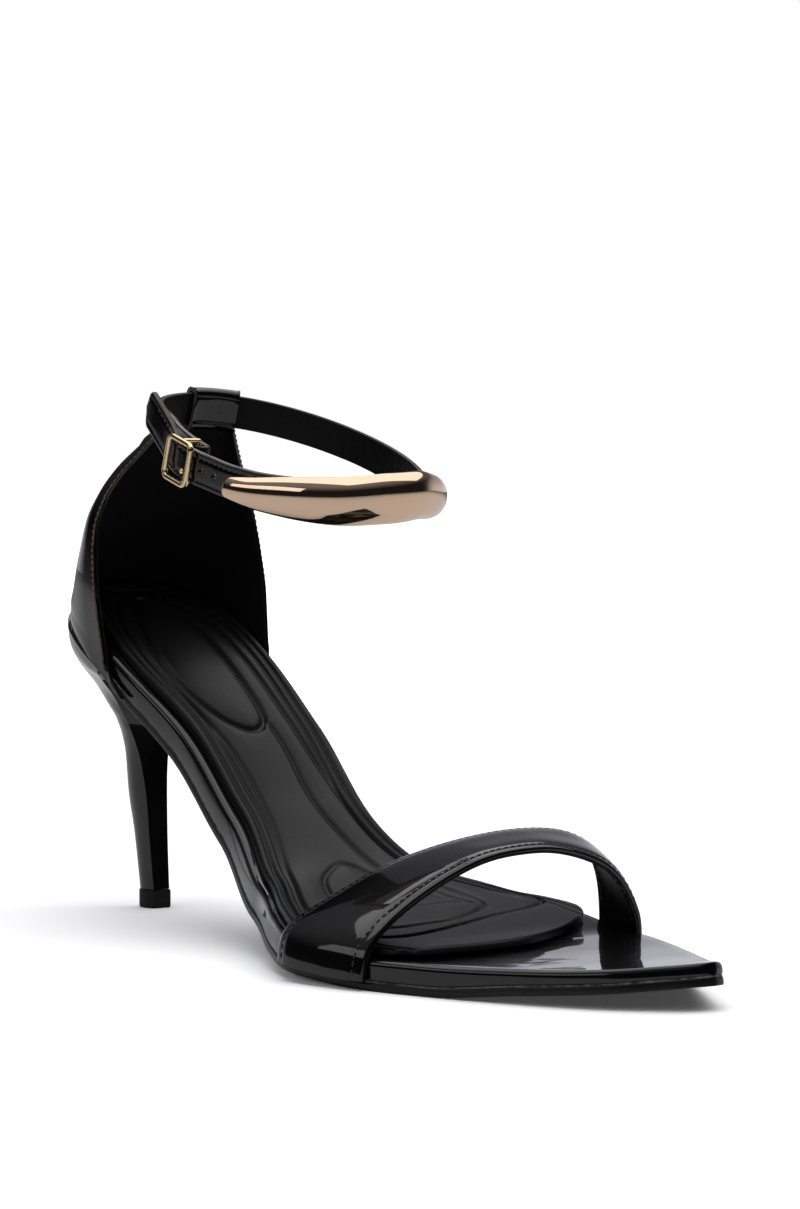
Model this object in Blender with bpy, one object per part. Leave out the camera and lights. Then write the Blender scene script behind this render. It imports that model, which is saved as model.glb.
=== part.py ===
"""Strappy heeled sandal for the right foot, as an assembly of its maker's pieces.

Metres, +Z up, +X towards the toe, +Y towards the medial (inner) side.
The origin is the centre of the heel tip's face on the floor.
"""

import math

import bmesh
import bpy
import numpy as np

MM = 0.001

# Clearance that two neighbouring pieces keep
GAP = 0.3 * MM

# Sole: driving sizes
SOLE_LENGTH = 243.3 * MM      # seat's back end to toe tip, along the floor
SEAT_REACH = 18.3 * MM        # seat's back end behind the heel tip's centre
BALL_WIDTH = 84.0 * MM
SEAT_RISE = 76.9 * MM         # board's top at the seat's back end, above the tread's
TOE_RISE = 3.7 * MM           # board's top at the toe tip, above the tread's
SEAT_ROUND = 32.0 * MM        # length of the seat's round end
SEAT_SQUARENESS = 2.0         # exponent of the round end, 2 is an ellipse
OUTSOLE_THICK = 2.0 * MM
BOARD_THICK = 5.0 * MM
BOARD_EDGE_ROUND = 1.5 * MM
OUTSOLE_START = 18.5 * MM     # station of the outsole's back end, ahead of the origin

# Padded sock
SOCK_THICK = 1.8 * MM
SOCK_INSET = 2.6 * MM
SOCK_REACH = 164.0 * MM       # foremost point of its front edge
SOCK_EDGE_ROUND = 0.9 * MM

# Heel and its top lift
LIFT_THICK = 4.7 * MM
LIFT_STEP = 0.25 * MM
TIP_BACK = 5.3 * MM
TIP_CENTRE = -1.5 * MM
TIP_FRONT = 2.4 * MM
TIP_HALF = 3.4 * MM
TIP_BREAST = 2.4 * MM
BREAST_REACH = 12.0 * MM      # heel's breast at the seat, ahead of the origin
HEEL_SQUARENESS = 2.1

# Counter (closed back of the upper)
WALL = 1.6 * MM
WING_REACH = 26.0 * MM        # foot of each wing, ahead of the origin
LEAN_WALL = 1.2               # extra of the wall at the leaning back
COUNTER_RISE = 65.0 * MM
SEAT_RAKE = 2.4 * MM          # how far the board's lower edge lies behind its upper one
COUNTER_LEAN = 34.8 * MM      # how far its top leans forward from its foot
TAB_SHIFT = 2.9 * MM          # tab's shift to the medial side

# Ankle strap and the tunnel that carries it; the ring is the strap's route
STRAP_THICK = 1.8 * MM
STRAP_WIDTH = 8.6 * MM
RING_LENGTH = 83.8 * MM
RING_WIDTH = 60.2 * MM
RING_SLOPE = -0.30            # fall of the ring towards the toe
RING_ROLL = -0.025            # fall of the ring towards the medial side
RING_SHIFT = 2.3 * MM
RING_LIFT = 5.4 * MM          # most that the bangle holds the ring above its plane
OUTER_SHIFT = 0.6 * MM        # outer layer at the buckle, out from the ring
TUNNEL_WALL = 0.9 * MM
TUNNEL_SINK = 0.6 * MM        # how far the counter's top edge runs into the tunnel
TUNNEL_NEAR = math.radians(-5)
TUNNEL_FAR = math.radians(20)
PASSAGE_EXTRA = math.radians(15)
TIP_LIFT = 6.0 * MM           # rise of the strap's free tip
TIP_FLARE = 2.2 * MM          # how far the free tip stands off
TIP_POINT = 5.0 * MM
BUCKLE_AT = math.radians(-92)
FREE_END = math.radians(24)    # how far the free tip reaches past the buckle
HOLE_WIDTH = 1.7 * MM
HOLE_PITCH = 4.5 * MM
HOLE_COUNT = 2

# Buckle
WIRE = 1.4 * MM
BAR = 1.2 * MM
BUCKLE_LENGTH = 11.2 * MM
BUCKLE_CORNER = 1.6 * MM
PRONG = 1.0 * MM
SLOT_WIDTH = 2.0 * MM
PRONG_DROP = 1.6 * MM         # prong below the strap's middle line

# Bangle
BANGLE_HEIGHT = 12.9 * MM
BANGLE_DEPTH = 6.4 * MM
BANGLE_END_HEIGHT = 5.4 * MM
BANGLE_END_DEPTH = 3.2 * MM
BANGLE_END_DROP = 0.9 * MM
BANGLE_HALF_ANGLE = math.radians(64.5)

# Toe strap
BAND_THICK = 1.7 * MM
BAND_ARCH = 32.1 * MM         # highest point of its outer face above the floor
BAND_LATERAL = (128.5 * MM, 157.0 * MM)   # back and front edge at the lateral foot
BAND_MEDIAL = (138.5 * MM, 153.0 * MM)    # back and front edge at the medial foot

# Sole stations: share of the length, board's rise as a share of SEAT_RISE and
# of TOE_RISE, half width and medial swing as shares of BALL_WIDTH, board's
# thickness as a share of BOARD_THICK
SOLE_TABLE = np.array([
    # along  seat    toe    half    swing   board
    (0.000, 1.000, 0.000, 0.278, 0.000, 1.00),
    (0.031, 0.957, 0.000, 0.278, 0.000, 1.00),
    (0.080, 0.897, 0.000, 0.278, 0.000, 1.06),
    (0.162, 0.761, 0.000, 0.277, 0.000, 1.12),
    (0.264, 0.556, 0.000, 0.251, 0.008, 1.25),
    (0.366, 0.317, 0.000, 0.245, -0.017, 1.28),
    (0.468, 0.131, 0.000, 0.310, -0.040, 1.30),
    (0.550, 0.074, 0.000, 0.416, -0.041, 1.32),
    (0.626, 0.036, 0.000, 0.498, -0.020, 1.26),
    (0.708, 0.000, 0.000, 0.479, 0.012, 1.00),
    (0.776, 0.000, 0.000, 0.423, 0.023, 1.00),
    (0.869, 0.000, 0.170, 0.303, 0.029, 0.72),
    (0.937, 0.000, 0.450, 0.188, 0.040, 0.63),
    (0.978, 0.000, 0.780, 0.092, 0.071, 0.60),
    (0.993, 0.000, 0.930, 0.050, 0.084, 0.60),
    (1.000, 0.000, 1.000, 0.018, 0.089, 0.60),
])

# Sock's front edge: place across from lateral (-1) to medial (1), and its set
# back from SOCK_REACH as a share of BALL_WIDTH
SOCK_FRONT = np.array([
    (-1.00, 0.150),
    (-0.92, 0.050),
    (-0.78, 0.008),
    (-0.40, 0.000),
    (0.00, 0.028),
    (0.45, 0.125),
    (0.80, 0.235),
    (0.95, 0.300),
    (1.00, 0.370),
])

# Heel levels: height as a share of the heel's height at each place, then how
# far each size has gone from the tip's to the seat's
HEEL_TABLE = np.array([
    # up     back   centre  front  half   breast
    (0.000, 0.000, 0.000, 0.000, 0.000, 0.000),
    (0.210, 0.154, -0.155, -0.146, 0.018, 0.018),
    (0.365, 0.296, -0.273, -0.229, 0.050, 0.035),
    (0.505, 0.346, -0.318, -0.354, 0.074, 0.079),
    (0.575, 0.401, -0.318, -0.417, 0.115, 0.132),
    (0.645, 0.463, -0.318, -0.458, 0.203, 0.210),
    (0.700, 0.543, -0.300, -0.406, 0.318, 0.311),
    (0.775, 0.667, -0.227, -0.198, 0.484, 0.474),
    (0.875, 0.840, 0.045, 0.270, 0.774, 0.741),
    (0.950, 0.957, 0.590, 0.740, 0.954, 0.930),
    (1.000, 1.000, 0.850, 1.000, 1.000, 1.000),
])

# Counter levels: rim's place as a share of WING_REACH, rim's lift above the
# board's underside as a share of COUNTER_RISE, half width as a share of the
# seat's, lean as a share of COUNTER_LEAN, back's lift as a share of
# COUNTER_RISE, shift as a share of TAB_SHIFT
COUNTER_TABLE = np.array([
    # rim    rim up  half    lean   back up  shift
    (1.000, 0.000, 1.000, 0.000, 0.000, 0.00),
    (0.750, 0.019, 1.000, 0.000, 0.025, 0.00),
    (0.600, 0.081, 1.004, 0.000, 0.080, 0.00),
    (0.538, 0.196, 1.022, 0.115, 0.159, 0.00),
    (0.488, 0.309, 1.036, 0.261, 0.277, 0.00),
    (0.435, 0.421, 1.018, 0.405, 0.404, 0.00),
    (0.400, 0.537, 0.975, 0.543, 0.532, 0.00),
    (0.408, 0.647, 0.878, 0.672, 0.660, 0.10),
    (0.454, 0.750, 0.750, 0.787, 0.780, 0.28),
    (0.546, 0.863, 0.580, 0.902, 0.890, 0.55),
    (0.654, 1.000, 0.377, 1.000, 0.985, 1.00),
])

# Toe strap from lateral to medial foot: place across as a share of the span
# and height as a share of BAND_ARCH, for its back and its front edge
BAND_TABLE = np.array([
    # back across, up    front across, up
    (0.000, 0.165, 0.000, 0.125),
    (0.000, 0.340, 0.000, 0.245),
    (0.006, 0.400, 0.006, 0.310),
    (0.075, 0.468, 0.072, 0.470),
    (0.150, 0.571, 0.147, 0.597),
    (0.225, 0.671, 0.235, 0.704),
    (0.300, 0.769, 0.320, 0.804),
    (0.385, 0.843, 0.407, 0.880),
    (0.502, 0.925, 0.493, 0.920),
    (0.665, 0.993, 0.612, 0.932),
    (0.758, 1.000, 0.700, 0.912),
    (0.835, 0.987, 0.815, 0.827),
    (0.902, 0.937, 0.885, 0.735),
    (0.957, 0.838, 0.935, 0.620),
    (0.985, 0.677, 0.972, 0.470),
    (0.995, 0.522, 0.993, 0.350),
    (1.000, 0.350, 1.000, 0.252),
])

# Ring's lift above its plane: degrees round the ring, and share of RING_LIFT
LIFT_TABLE = np.array([
    (0.0, 0.00),
    (116.0, 0.00),
    (134.0, 0.26),
    (150.0, 0.70),
    (165.0, 1.00),
    (180.0, 0.95),
    (200.0, 0.65),
    (220.0, 0.36),
    (238.0, 0.08),
    (250.0, 0.00),
    (360.0, 0.00),
])

SOLE_STATIONS = 44
ACROSS_COUNT = 13
COUNTER_LEVELS = 21
COUNTER_BEND = 22
HEEL_LEVELS = 20
STRAP_STATIONS = 84
TUBE_SIDES = 8


def smooth(table_x, table_y, x):
    """Cubic through the table's points that never overshoots them."""
    table_x = np.asarray(table_x, float)
    table_y = np.asarray(table_y, float)
    step = np.diff(table_x)
    slope = np.diff(table_y) / step
    before, after = slope[:-1], slope[1:]
    both = before * after > 0
    total = np.where(both, before + after, 1.0)
    middle = np.where(both, 2.0 * before * after / total, 0.0)
    tangent = np.concatenate([slope[:1], middle, slope[-1:]])
    x = np.clip(x, table_x[0], table_x[-1])
    i = np.clip(np.searchsorted(table_x, x) - 1, 0, len(step) - 1)
    t = (x - table_x[i]) / step[i]
    rise = tangent[i] * step[i]
    fall = tangent[i + 1] * step[i]
    low, high = table_y[i], table_y[i + 1]
    return (low * (1 + 2 * t) * (1 - t) ** 2 + rise * t * (1 - t) ** 2
            + high * t * t * (3 - 2 * t) + fall * t * t * (t - 1))


def signed_power(value, exponent):
    """Power that keeps the sign of its base."""
    return np.sign(value) * np.abs(value) ** exponent


class Sole:
    """The board's top line, its offsets and its outline."""

    def __init__(self):
        along = SOLE_TABLE[:, 0]
        tread_top = OUTSOLE_THICK + GAP + BOARD_THICK
        share = np.linspace(0.0, 1.0, 600)
        self.x = share * SOLE_LENGTH - SEAT_REACH
        self.z = (tread_top + SEAT_RISE * smooth(along, SOLE_TABLE[:, 1], share)
                  + TOE_RISE * smooth(along, SOLE_TABLE[:, 2], share))
        slope = np.gradient(self.z, self.x)
        length = np.sqrt(1 + slope * slope)
        self.normal = np.stack([-slope / length, 1 / length])
        self.half = BALL_WIDTH * smooth(along, SOLE_TABLE[:, 3], share)
        self.swing = BALL_WIDTH * smooth(along, SOLE_TABLE[:, 4], share)
        self.board = BOARD_THICK * smooth(along, SOLE_TABLE[:, 5], share)

    def half_at(self, x):
        """Half width of the board at station x, with the seat's round end."""
        centre = SEAT_ROUND - SEAT_REACH
        inside = np.clip((centre - x) / SEAT_ROUND, 0.0, 1.0)
        taper = (1 - inside ** SEAT_SQUARENESS) ** (1 / SEAT_SQUARENESS)
        return np.interp(x, self.x, self.half) * taper

    def swing_at(self, x):
        """Middle of the board's width at station x."""
        return np.interp(x, self.x, self.swing)

    def board_at(self, x):
        """Thickness of the board at station x."""
        return np.interp(x, self.x, self.board)

    def offset(self, x, depth):
        """Point that lies depth under the board's top line at station x."""
        z = np.interp(x, self.x, self.z)
        nx = np.interp(x, self.x, self.normal[0])
        nz = np.interp(x, self.x, self.normal[1])
        return x - nx * depth, z - nz * depth

    def height(self, x, depth):
        """Height at a true place x of the line depth under the board's top."""
        line_x = self.x - self.normal[0] * depth
        line_z = self.z - self.normal[1] * depth
        return np.interp(x, line_x, line_z)

    def underside(self, x):
        """Height of the board's underside at a true place x."""
        return self.height(x, self.board)


SOLE = Sole()


def material(name, colour, roughness, metallic=0.0):
    """Principled material with the part's colour and finish."""
    made = bpy.data.materials.new(name)
    made.use_nodes = True
    shader = made.node_tree.nodes["Principled BSDF"]
    shader.inputs["Base Color"].default_value = (*colour, 1.0)
    shader.inputs["Roughness"].default_value = roughness
    shader.inputs["Metallic"].default_value = metallic
    return made


def add_object(name, points, faces, finish, sharp=35.0):
    """One named object from points and faces, with its faces pointing out."""
    mesh = bpy.data.meshes.new(name)
    mesh.from_pydata([tuple(p) for p in points], [], [tuple(f) for f in faces])
    shape = bmesh.new()
    shape.from_mesh(mesh)
    bmesh.ops.recalc_face_normals(shape, faces=shape.faces)
    shape.to_mesh(mesh)
    shape.free()
    mesh.shade_smooth()
    mesh.set_sharp_from_angle(angle=math.radians(sharp))
    mesh.materials.append(finish)
    made = bpy.data.objects.new(name, mesh)
    bpy.context.collection.objects.link(made)
    return made


def ring_faces(rings, sides, closed=False):
    """Quads between neighbouring rings of points, with the two ends capped."""
    faces = []
    for i in range(rings if closed else rings - 1):
        after = (i + 1) % rings
        for j in range(sides):
            k = (j + 1) % sides
            faces.append((i * sides + j, i * sides + k, after * sides + k, after * sides + j))
    if not closed:
        faces.append(tuple(range(sides)))
        faces.append(tuple((rings - 1) * sides + j for j in range(sides)))
    return faces


def lofted(name, rings, finish, closed=False, sharp=35.0):
    """Solid through rings of points, an array of (rings, sides, 3)."""
    count, sides = rings.shape[:2]
    return add_object(name, rings.reshape(-1, 3), ring_faces(count, sides, closed), finish, sharp)


def slab(name, upper, lower, finish, sharp=35.0):
    """Solid between two grids of points, each an array of (rows, columns, 3)."""
    rows, columns = upper.shape[:2]
    below = rows * columns
    faces = []
    for i in range(rows - 1):
        for j in range(columns - 1):
            a, b = i * columns + j, (i + 1) * columns + j
            faces.append((a, a + 1, b + 1, b))
            faces.append((below + a, below + b, below + b + 1, below + a + 1))
    for j in range(columns - 1):
        for a in (j, (rows - 1) * columns + j):
            faces.append((a, a + 1, below + a + 1, below + a))
    for i in range(rows - 1):
        for a in (i * columns, i * columns + columns - 1):
            faces.append((a, a + columns, below + a + columns, below + a))
    points = np.concatenate([upper.reshape(-1, 3), lower.reshape(-1, 3)])
    return add_object(name, points, faces, finish, sharp)


def grid_normals(grid):
    """Unit normals of a grid of points."""
    down = np.gradient(grid, axis=0)
    along = np.gradient(grid, axis=1)
    normal = np.cross(down, along)
    return normal / np.linalg.norm(normal, axis=-1, keepdims=True)


def combine(target, tool, operation):
    """Boolean of a hidden tool on a target."""
    tool.hide_render = True
    tool.display_type = "WIRE"
    change = target.modifiers.new(operation.title(), "BOOLEAN")
    change.operation = operation
    change.solver = "EXACT"
    change.object = tool


def sole_stations(start, end, count):
    """Stations from start to end, closer together near both ends."""
    angle = np.linspace(0.0, math.pi, count)
    even = np.linspace(0.0, 1.0, count)
    share = 0.55 * (1 - np.cos(angle)) / 2 + 0.45 * even
    return start + (end - start) * share


def sole_layer(name, start, top_depth, thickness, finish):
    """Layer of the sole with a rounded upper edge.

    Each section runs up the lateral side, across the top and down the medial side.
    """
    end = SOLE_LENGTH - SEAT_REACH
    # inset of each point from the outline as a share of the edge's round, and
    # its height as a share of the layer's thickness
    profile = ((0.45, 0.0), (0.0, 0.25), (0.0, 0.68), (0.30, 0.92), (1.0, 1.0))
    rings = []
    for x in sole_stations(start, end, SOLE_STATIONS):
        half = SOLE.half_at(x)
        middle = SOLE.swing_at(x)
        round_off = min(BOARD_EDGE_ROUND, 0.45 * half)
        side = []
        for inset, up in profile:
            depth = top_depth(x) + thickness(x) * (1 - up)
            px, pz = SOLE.offset(x, depth)
            side.append((px, half - inset * round_off, pz))
        lateral = [(px, middle - reach, pz) for px, reach, pz in side]
        medial = [(px, middle + reach, pz) for px, reach, pz in reversed(side)]
        rings.append(lateral + medial)
    return lofted(name, np.array(rings), finish)


def build_platform(finish):
    """Insole board wrapped in patent, from the seat to the pointed toe."""
    start = -SEAT_REACH + 0.15 * MM
    return sole_layer("platform", start, lambda x: 0.0, SOLE.board_at, finish)


def build_outsole(finish):
    """Thin sole under the board, from the heel's breast to the toe."""
    return sole_layer("outsole", OUTSOLE_START, lambda x: SOLE.board_at(x) + GAP,
                      lambda x: OUTSOLE_THICK, finish)


def build_sock(finish):
    """Padded sock on the board, with a slanting rounded front edge."""
    across = np.linspace(-1.0, 1.0, ACROSS_COUNT + 4)
    front = SOCK_REACH - BALL_WIDTH * smooth(SOCK_FRONT[:, 0], SOCK_FRONT[:, 1], across)
    start = -SEAT_REACH + SOCK_INSET + 0.4 * MM
    along = sole_stations(0.0, 1.0, 34)
    grids = []
    for lift, edge in ((SOCK_THICK + GAP, SOCK_EDGE_ROUND), (GAP, 0.0)):
        back = start + edge
        x = back + along[:, None] * (front - edge - back)[None, :]
        half = np.maximum(SOLE.half_at(x) - SOCK_INSET - edge, 0.6 * MM)
        px, pz = SOLE.offset(x, -lift)
        y = SOLE.swing_at(x) + half * across[None, :]
        grids.append(np.stack([px, y, pz], axis=-1))
    return slab("sock", grids[0], grids[1], finish)


def heel_section(back, centre, front, half, breast):
    """D-shaped section: round behind its centre, flat at the breast."""
    angle = np.linspace(-math.pi / 2, math.pi / 2, 19)
    power = 2 / HEEL_SQUARENESS
    curve = np.stack([centre - (centre + back) * np.cos(angle) ** power,
                      half * signed_power(np.sin(angle), power)], axis=-1)
    turn = np.array([0.4, 0.75, 1.0])
    side = np.stack([centre + (front - centre) * turn,
                     breast + (half - breast) * np.cos(turn * math.pi / 2)], axis=-1)
    face = np.stack([np.full(3, front), breast * np.array([0.5, 0.0, -0.5])], axis=-1)
    other = side[::-1] * (1, -1)
    return np.concatenate([curve, side, face, other])


def seat_sizes():
    """Back, centre, front, half width and breast of the heel at the seat."""
    reach = GAP + WALL
    half = float(SOLE.half_at(np.array(BREAST_REACH))) + reach
    back = SEAT_REACH + reach
    return np.array([back, BREAST_REACH - 2.0 * MM, BREAST_REACH, half, half - 0.4 * MM])


def tip_sizes(grow=0.0):
    """Back, centre, front, half width and breast of the heel at its tip."""
    return np.array([TIP_BACK + grow, TIP_CENTRE, TIP_FRONT + grow, TIP_HALF + grow,
                     TIP_BREAST + grow])


def build_heel(finish):
    """Stiletto from the top lift to the seat's underside."""
    low = LIFT_THICK + GAP
    rings = []
    for up in np.linspace(0.0, 1.0, HEEL_LEVELS):
        share = np.array([smooth(HEEL_TABLE[:, 0], HEEL_TABLE[:, c], up) for c in range(1, 6)])
        section = heel_section(*(tip_sizes() + share * (seat_sizes() - tip_sizes())))
        high = SOLE.underside(section[:, 0]) - 1.4 * GAP
        z = low + up * (high - low)
        rings.append(np.column_stack([section, z]))
    return lofted("heel", np.array(rings), finish, sharp=28.0)


def build_top_lift(finish):
    """Rubber tip of the heel, a little proud of the heel's own tip."""
    levels = ((0.0, 0.4), (0.12, 1.0), (1.0, 1.0))
    rings = []
    for up, step in levels:
        section = heel_section(*tip_sizes(LIFT_STEP * step))
        rings.append(np.column_stack([section, np.full(len(section), LIFT_THICK * up)]))
    return lofted("top_lift", np.array(rings), finish, sharp=28.0)


def counter_face(grow):
    """Grid of the counter's face, grow outside its inner one, by level and from rim to rim."""
    rows = len(COUNTER_TABLE)
    level = np.linspace(0.0, rows - 1.0, COUNTER_LEVELS)
    rim, rim_up, half, lean, back_up, shift = (
        smooth(np.arange(rows), COUNTER_TABLE[:, c], level) for c in range(6))
    seat_half = float(SOLE.half_at(np.array(SEAT_ROUND - SEAT_REACH))) + GAP
    seat_back = -SEAT_REACH - 2 * GAP
    angle = np.linspace(-math.pi / 2, math.pi / 2, COUNTER_BEND)
    straight = np.linspace(1.0, 0.0, 4)[:-1]
    grid = []
    for i in range(COUNTER_LEVELS):
        front = WING_REACH * rim[i]
        back = seat_back - grow * LEAN_WALL + COUNTER_LEAN * lean[i]
        reach = front - back
        centre = max(min(SEAT_ROUND - SEAT_REACH, front - 0.2 * reach), front - 0.45 * reach)
        width = seat_half * half[i] + grow
        power = 2 / SEAT_SQUARENESS
        curve_x = centre - (centre - back) * np.cos(angle) ** power
        curve_y = width * signed_power(np.sin(angle), power)
        wing_x = centre + (front - centre) * straight
        x = np.concatenate([wing_x, curve_x, wing_x[::-1]])
        y = np.concatenate([np.full(3, -width), curve_y, np.full(3, width)])
        lift = back_up[i] + (rim_up[i] - back_up[i]) * (x - back) / (front - back)
        x = x - SEAT_RAKE * np.clip(1 - COUNTER_RISE * lift / SOLE.board_at(x), 0.0, 1.0)
        z = SOLE.underside(x) + COUNTER_RISE * lift
        grid.append(np.stack([x, y + TAB_SHIFT * shift[i], z], axis=-1))
    return np.array(grid)


class Ring:
    """Route of the ankle strap: an ellipse in a plane that falls to the toe."""

    def __init__(self):
        top = counter_face(0.0)[-1]
        back = top[np.argmin(top[:, 0])]
        tunnel_half = STRAP_WIDTH / 2 + GAP + TUNNEL_WALL
        self.up = np.array([-RING_SLOPE, -RING_ROLL, 1.0])
        self.up = self.up / np.linalg.norm(self.up)
        start = back + self.up * (tunnel_half - TUNNEL_SINK)
        self.centre = np.array([start[0] + RING_LENGTH / 2, RING_SHIFT,
                                start[2] + RING_SLOPE * RING_LENGTH / 2])

    def point(self, angle):
        """Middle of the strap at an angle: 0 behind, 90 medial, 180 at the front."""
        angle = np.asarray(angle, float)
        x = -RING_LENGTH / 2 * np.cos(angle)
        y = RING_WIDTH / 2 * np.sin(angle)
        lift = smooth(LIFT_TABLE[:, 0], LIFT_TABLE[:, 1], np.degrees(angle) % 360.0)
        z = RING_SLOPE * x + RING_ROLL * y + RING_LIFT * lift
        return self.centre + np.stack([x, y, z], axis=-1)

    def frame(self, angle):
        """Unit tangent and outward normal at an angle."""
        step = 1e-4
        tangent = self.point(np.asarray(angle) + step) - self.point(np.asarray(angle) - step)
        tangent = tangent / np.linalg.norm(tangent, axis=-1, keepdims=True)
        return tangent, np.cross(self.up, tangent)


def band_rings(points, outward, up, half_width, half_thick):
    """Rings of a flat band with its long edges eased, round each point."""
    ease = 0.25 * MM
    rings = []
    for p, n, u, w, t in zip(points, outward, up, half_width, half_thick):
        e = min(ease, 0.4 * w)
        corner = [(-t, -w + e), (-t + e, -w), (t - e, -w), (t, -w + e),
                  (t, w - e), (t - e, w), (-t + e, w), (-t, w - e)]
        rings.append([p + n * a + u * b for a, b in corner])
    return np.array(rings)


def strap_stack():
    """Distances out from the ring's line of the layers under the buckle."""
    layer = STRAP_THICK / 2
    outer_to_bar = layer + GAP + STRAP_THICK + GAP + BAR / 2
    bar_to_inner = BAR / 2 + GAP + layer
    outer = OUTER_SHIFT
    bar = outer - outer_to_bar
    return {"outer": outer, "bar": bar, "inner": bar - bar_to_inner,
            "frame": outer + layer + GAP + WIRE / 2, "curl": bar_to_inner}


def strap_route(ring):
    """Middle line, normals and half widths of the ankle strap.

    It starts curled round the buckle's bar, runs back through the tunnel,
    round the ankle and out under the buckle's frame to its pointed tip.
    """
    stack = strap_stack()
    at, (tangent, normal) = ring.point(BUCKLE_AT), ring.frame(BUCKLE_AT)
    turn = np.linspace(math.radians(75), math.radians(-75), 9)
    bar = at + normal * stack["bar"]
    forward = -tangent
    curl_out = np.outer(np.cos(turn), forward) + np.outer(np.sin(turn), normal)
    curl = bar + curl_out * stack["curl"]
    # a quarter round the ring the strap has left its inner layer
    lap = BUCKLE_AT + 2 * math.pi
    angle = np.linspace(BUCKLE_AT + math.radians(3), lap + FREE_END, STRAP_STATIONS)
    shift = smooth([BUCKLE_AT, BUCKLE_AT + math.radians(30), math.radians(-26), math.radians(30),
                    lap - math.radians(16), lap - math.radians(6), lap + 0.4 * FREE_END,
                    lap + FREE_END],
                   [stack["inner"], stack["inner"], 0.0, 0.0, 0.0, stack["outer"],
                    stack["outer"], stack["outer"] + TIP_FLARE], angle)
    lift = smooth([BUCKLE_AT, math.pi, lap, lap + FREE_END], [0.0, 0.0, 0.0, TIP_LIFT], angle)
    _, out = ring.frame(angle)
    line = ring.point(angle) + out * shift[:, None] + ring.up * lift[:, None]
    points = np.concatenate([curl, line])
    outward = np.concatenate([-curl_out, out])
    # the curl's faces turn with it, so its normals point at the bar's far side
    half = np.full(len(points), STRAP_WIDTH / 2)
    left = np.linalg.norm(points - points[-1], axis=1)
    tail = np.arange(len(points)) > len(points) // 2
    point_share = np.clip(left / TIP_POINT, 0.08, 1.0)
    half = np.where(tail, half * point_share, half)
    return points, outward, half


def build_ankle_strap(ring, finish):
    """Ankle strap with its punched holes."""
    points, outward, half = strap_route(ring)
    travel = np.gradient(points, axis=0)
    travel = travel / np.linalg.norm(travel, axis=1, keepdims=True)
    up = np.tile(ring.up, (len(points), 1))
    outward = np.cross(up, travel)
    up = np.cross(travel, outward)
    outward = outward / np.linalg.norm(outward, axis=1, keepdims=True)
    up = up / np.linalg.norm(up, axis=1, keepdims=True)
    thick = np.full(len(points), STRAP_THICK / 2)
    strap = lofted("ankle_strap", band_rings(points, outward, up, half, thick), finish)
    combine(strap, buckle_slot(ring, finish), "DIFFERENCE")
    for number in range(HOLE_COUNT):
        combine(strap, punched_hole(ring, number, finish), "DIFFERENCE")
    return strap


def buckle_frame(ring):
    """Centre of the buckle and its axes: forward, out and up."""
    tangent, normal = ring.frame(BUCKLE_AT)
    return ring.point(BUCKLE_AT), -tangent, normal, ring.up


def box_solid(name, centre, axes, size, finish):
    """Box with its own axes."""
    signs = [(a, b, c) for a in (-1, 1) for b in (-1, 1) for c in (-1, 1)]
    points = [centre + sum(axis * s * d / 2 for axis, s, d in zip(axes, sign, size))
              for sign in signs]
    faces = [(0, 1, 3, 2), (4, 6, 7, 5), (0, 4, 5, 1), (2, 3, 7, 6), (0, 2, 6, 4), (1, 5, 7, 3)]
    return add_object(name, points, faces, finish)


def buckle_slot(ring, finish):
    """Cutter for the slot that the prong passes through."""
    at, forward, out, up = buckle_frame(ring)
    stack = strap_stack()
    low = stack["bar"] - BAR / 2
    high = stack["outer"] + STRAP_THICK
    centre = at + forward * 1.3 * MM + out * (low + high) / 2 - up * PRONG_DROP
    return box_solid("slot_cutter", centre, (forward, out, up),
                     (4.4 * MM, high - low, SLOT_WIDTH), finish)


def punched_hole(ring, number, finish):
    """Cutter for one punched hole between the buckle and the bangle."""
    degree = math.radians(1)
    speed = np.linalg.norm(ring.point(BUCKLE_AT) - ring.point(BUCKLE_AT - degree)) / degree
    travel = BUCKLE_LENGTH / 2 + HOLE_PITCH * (0.5 + number)
    angle = BUCKLE_AT - travel / speed
    _, out = ring.frame(angle)
    tangent = ring.frame(angle)[0]
    centre = ring.point(angle)
    reach = 4 * STRAP_THICK
    return box_solid("hole_cutter", centre, (tangent, out, ring.up),
                     (HOLE_WIDTH, reach, HOLE_WIDTH), finish)


def tube(name, points, radius, finish, up, closed=False, taper=None):
    """Round bar along a path that stays clear of the up direction."""
    points = np.asarray(points)
    if closed:
        travel = np.roll(points, -1, axis=0) - np.roll(points, 1, axis=0)
    else:
        travel = np.gradient(points, axis=0)
    travel = travel / np.linalg.norm(travel, axis=1, keepdims=True)
    side = np.cross(travel, up)
    side = side / np.linalg.norm(side, axis=1, keepdims=True)
    other = np.cross(side, travel)
    angle = np.linspace(0, 2 * math.pi, TUBE_SIDES, endpoint=False)
    size = np.full(len(points), radius) if taper is None else radius * np.asarray(taper)
    rings = (points[:, None, :]
             + size[:, None, None] * (np.cos(angle)[None, :, None] * side[:, None, :]
                                      + np.sin(angle)[None, :, None] * other[:, None, :]))
    return lofted(name, rings, finish, closed)


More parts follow.
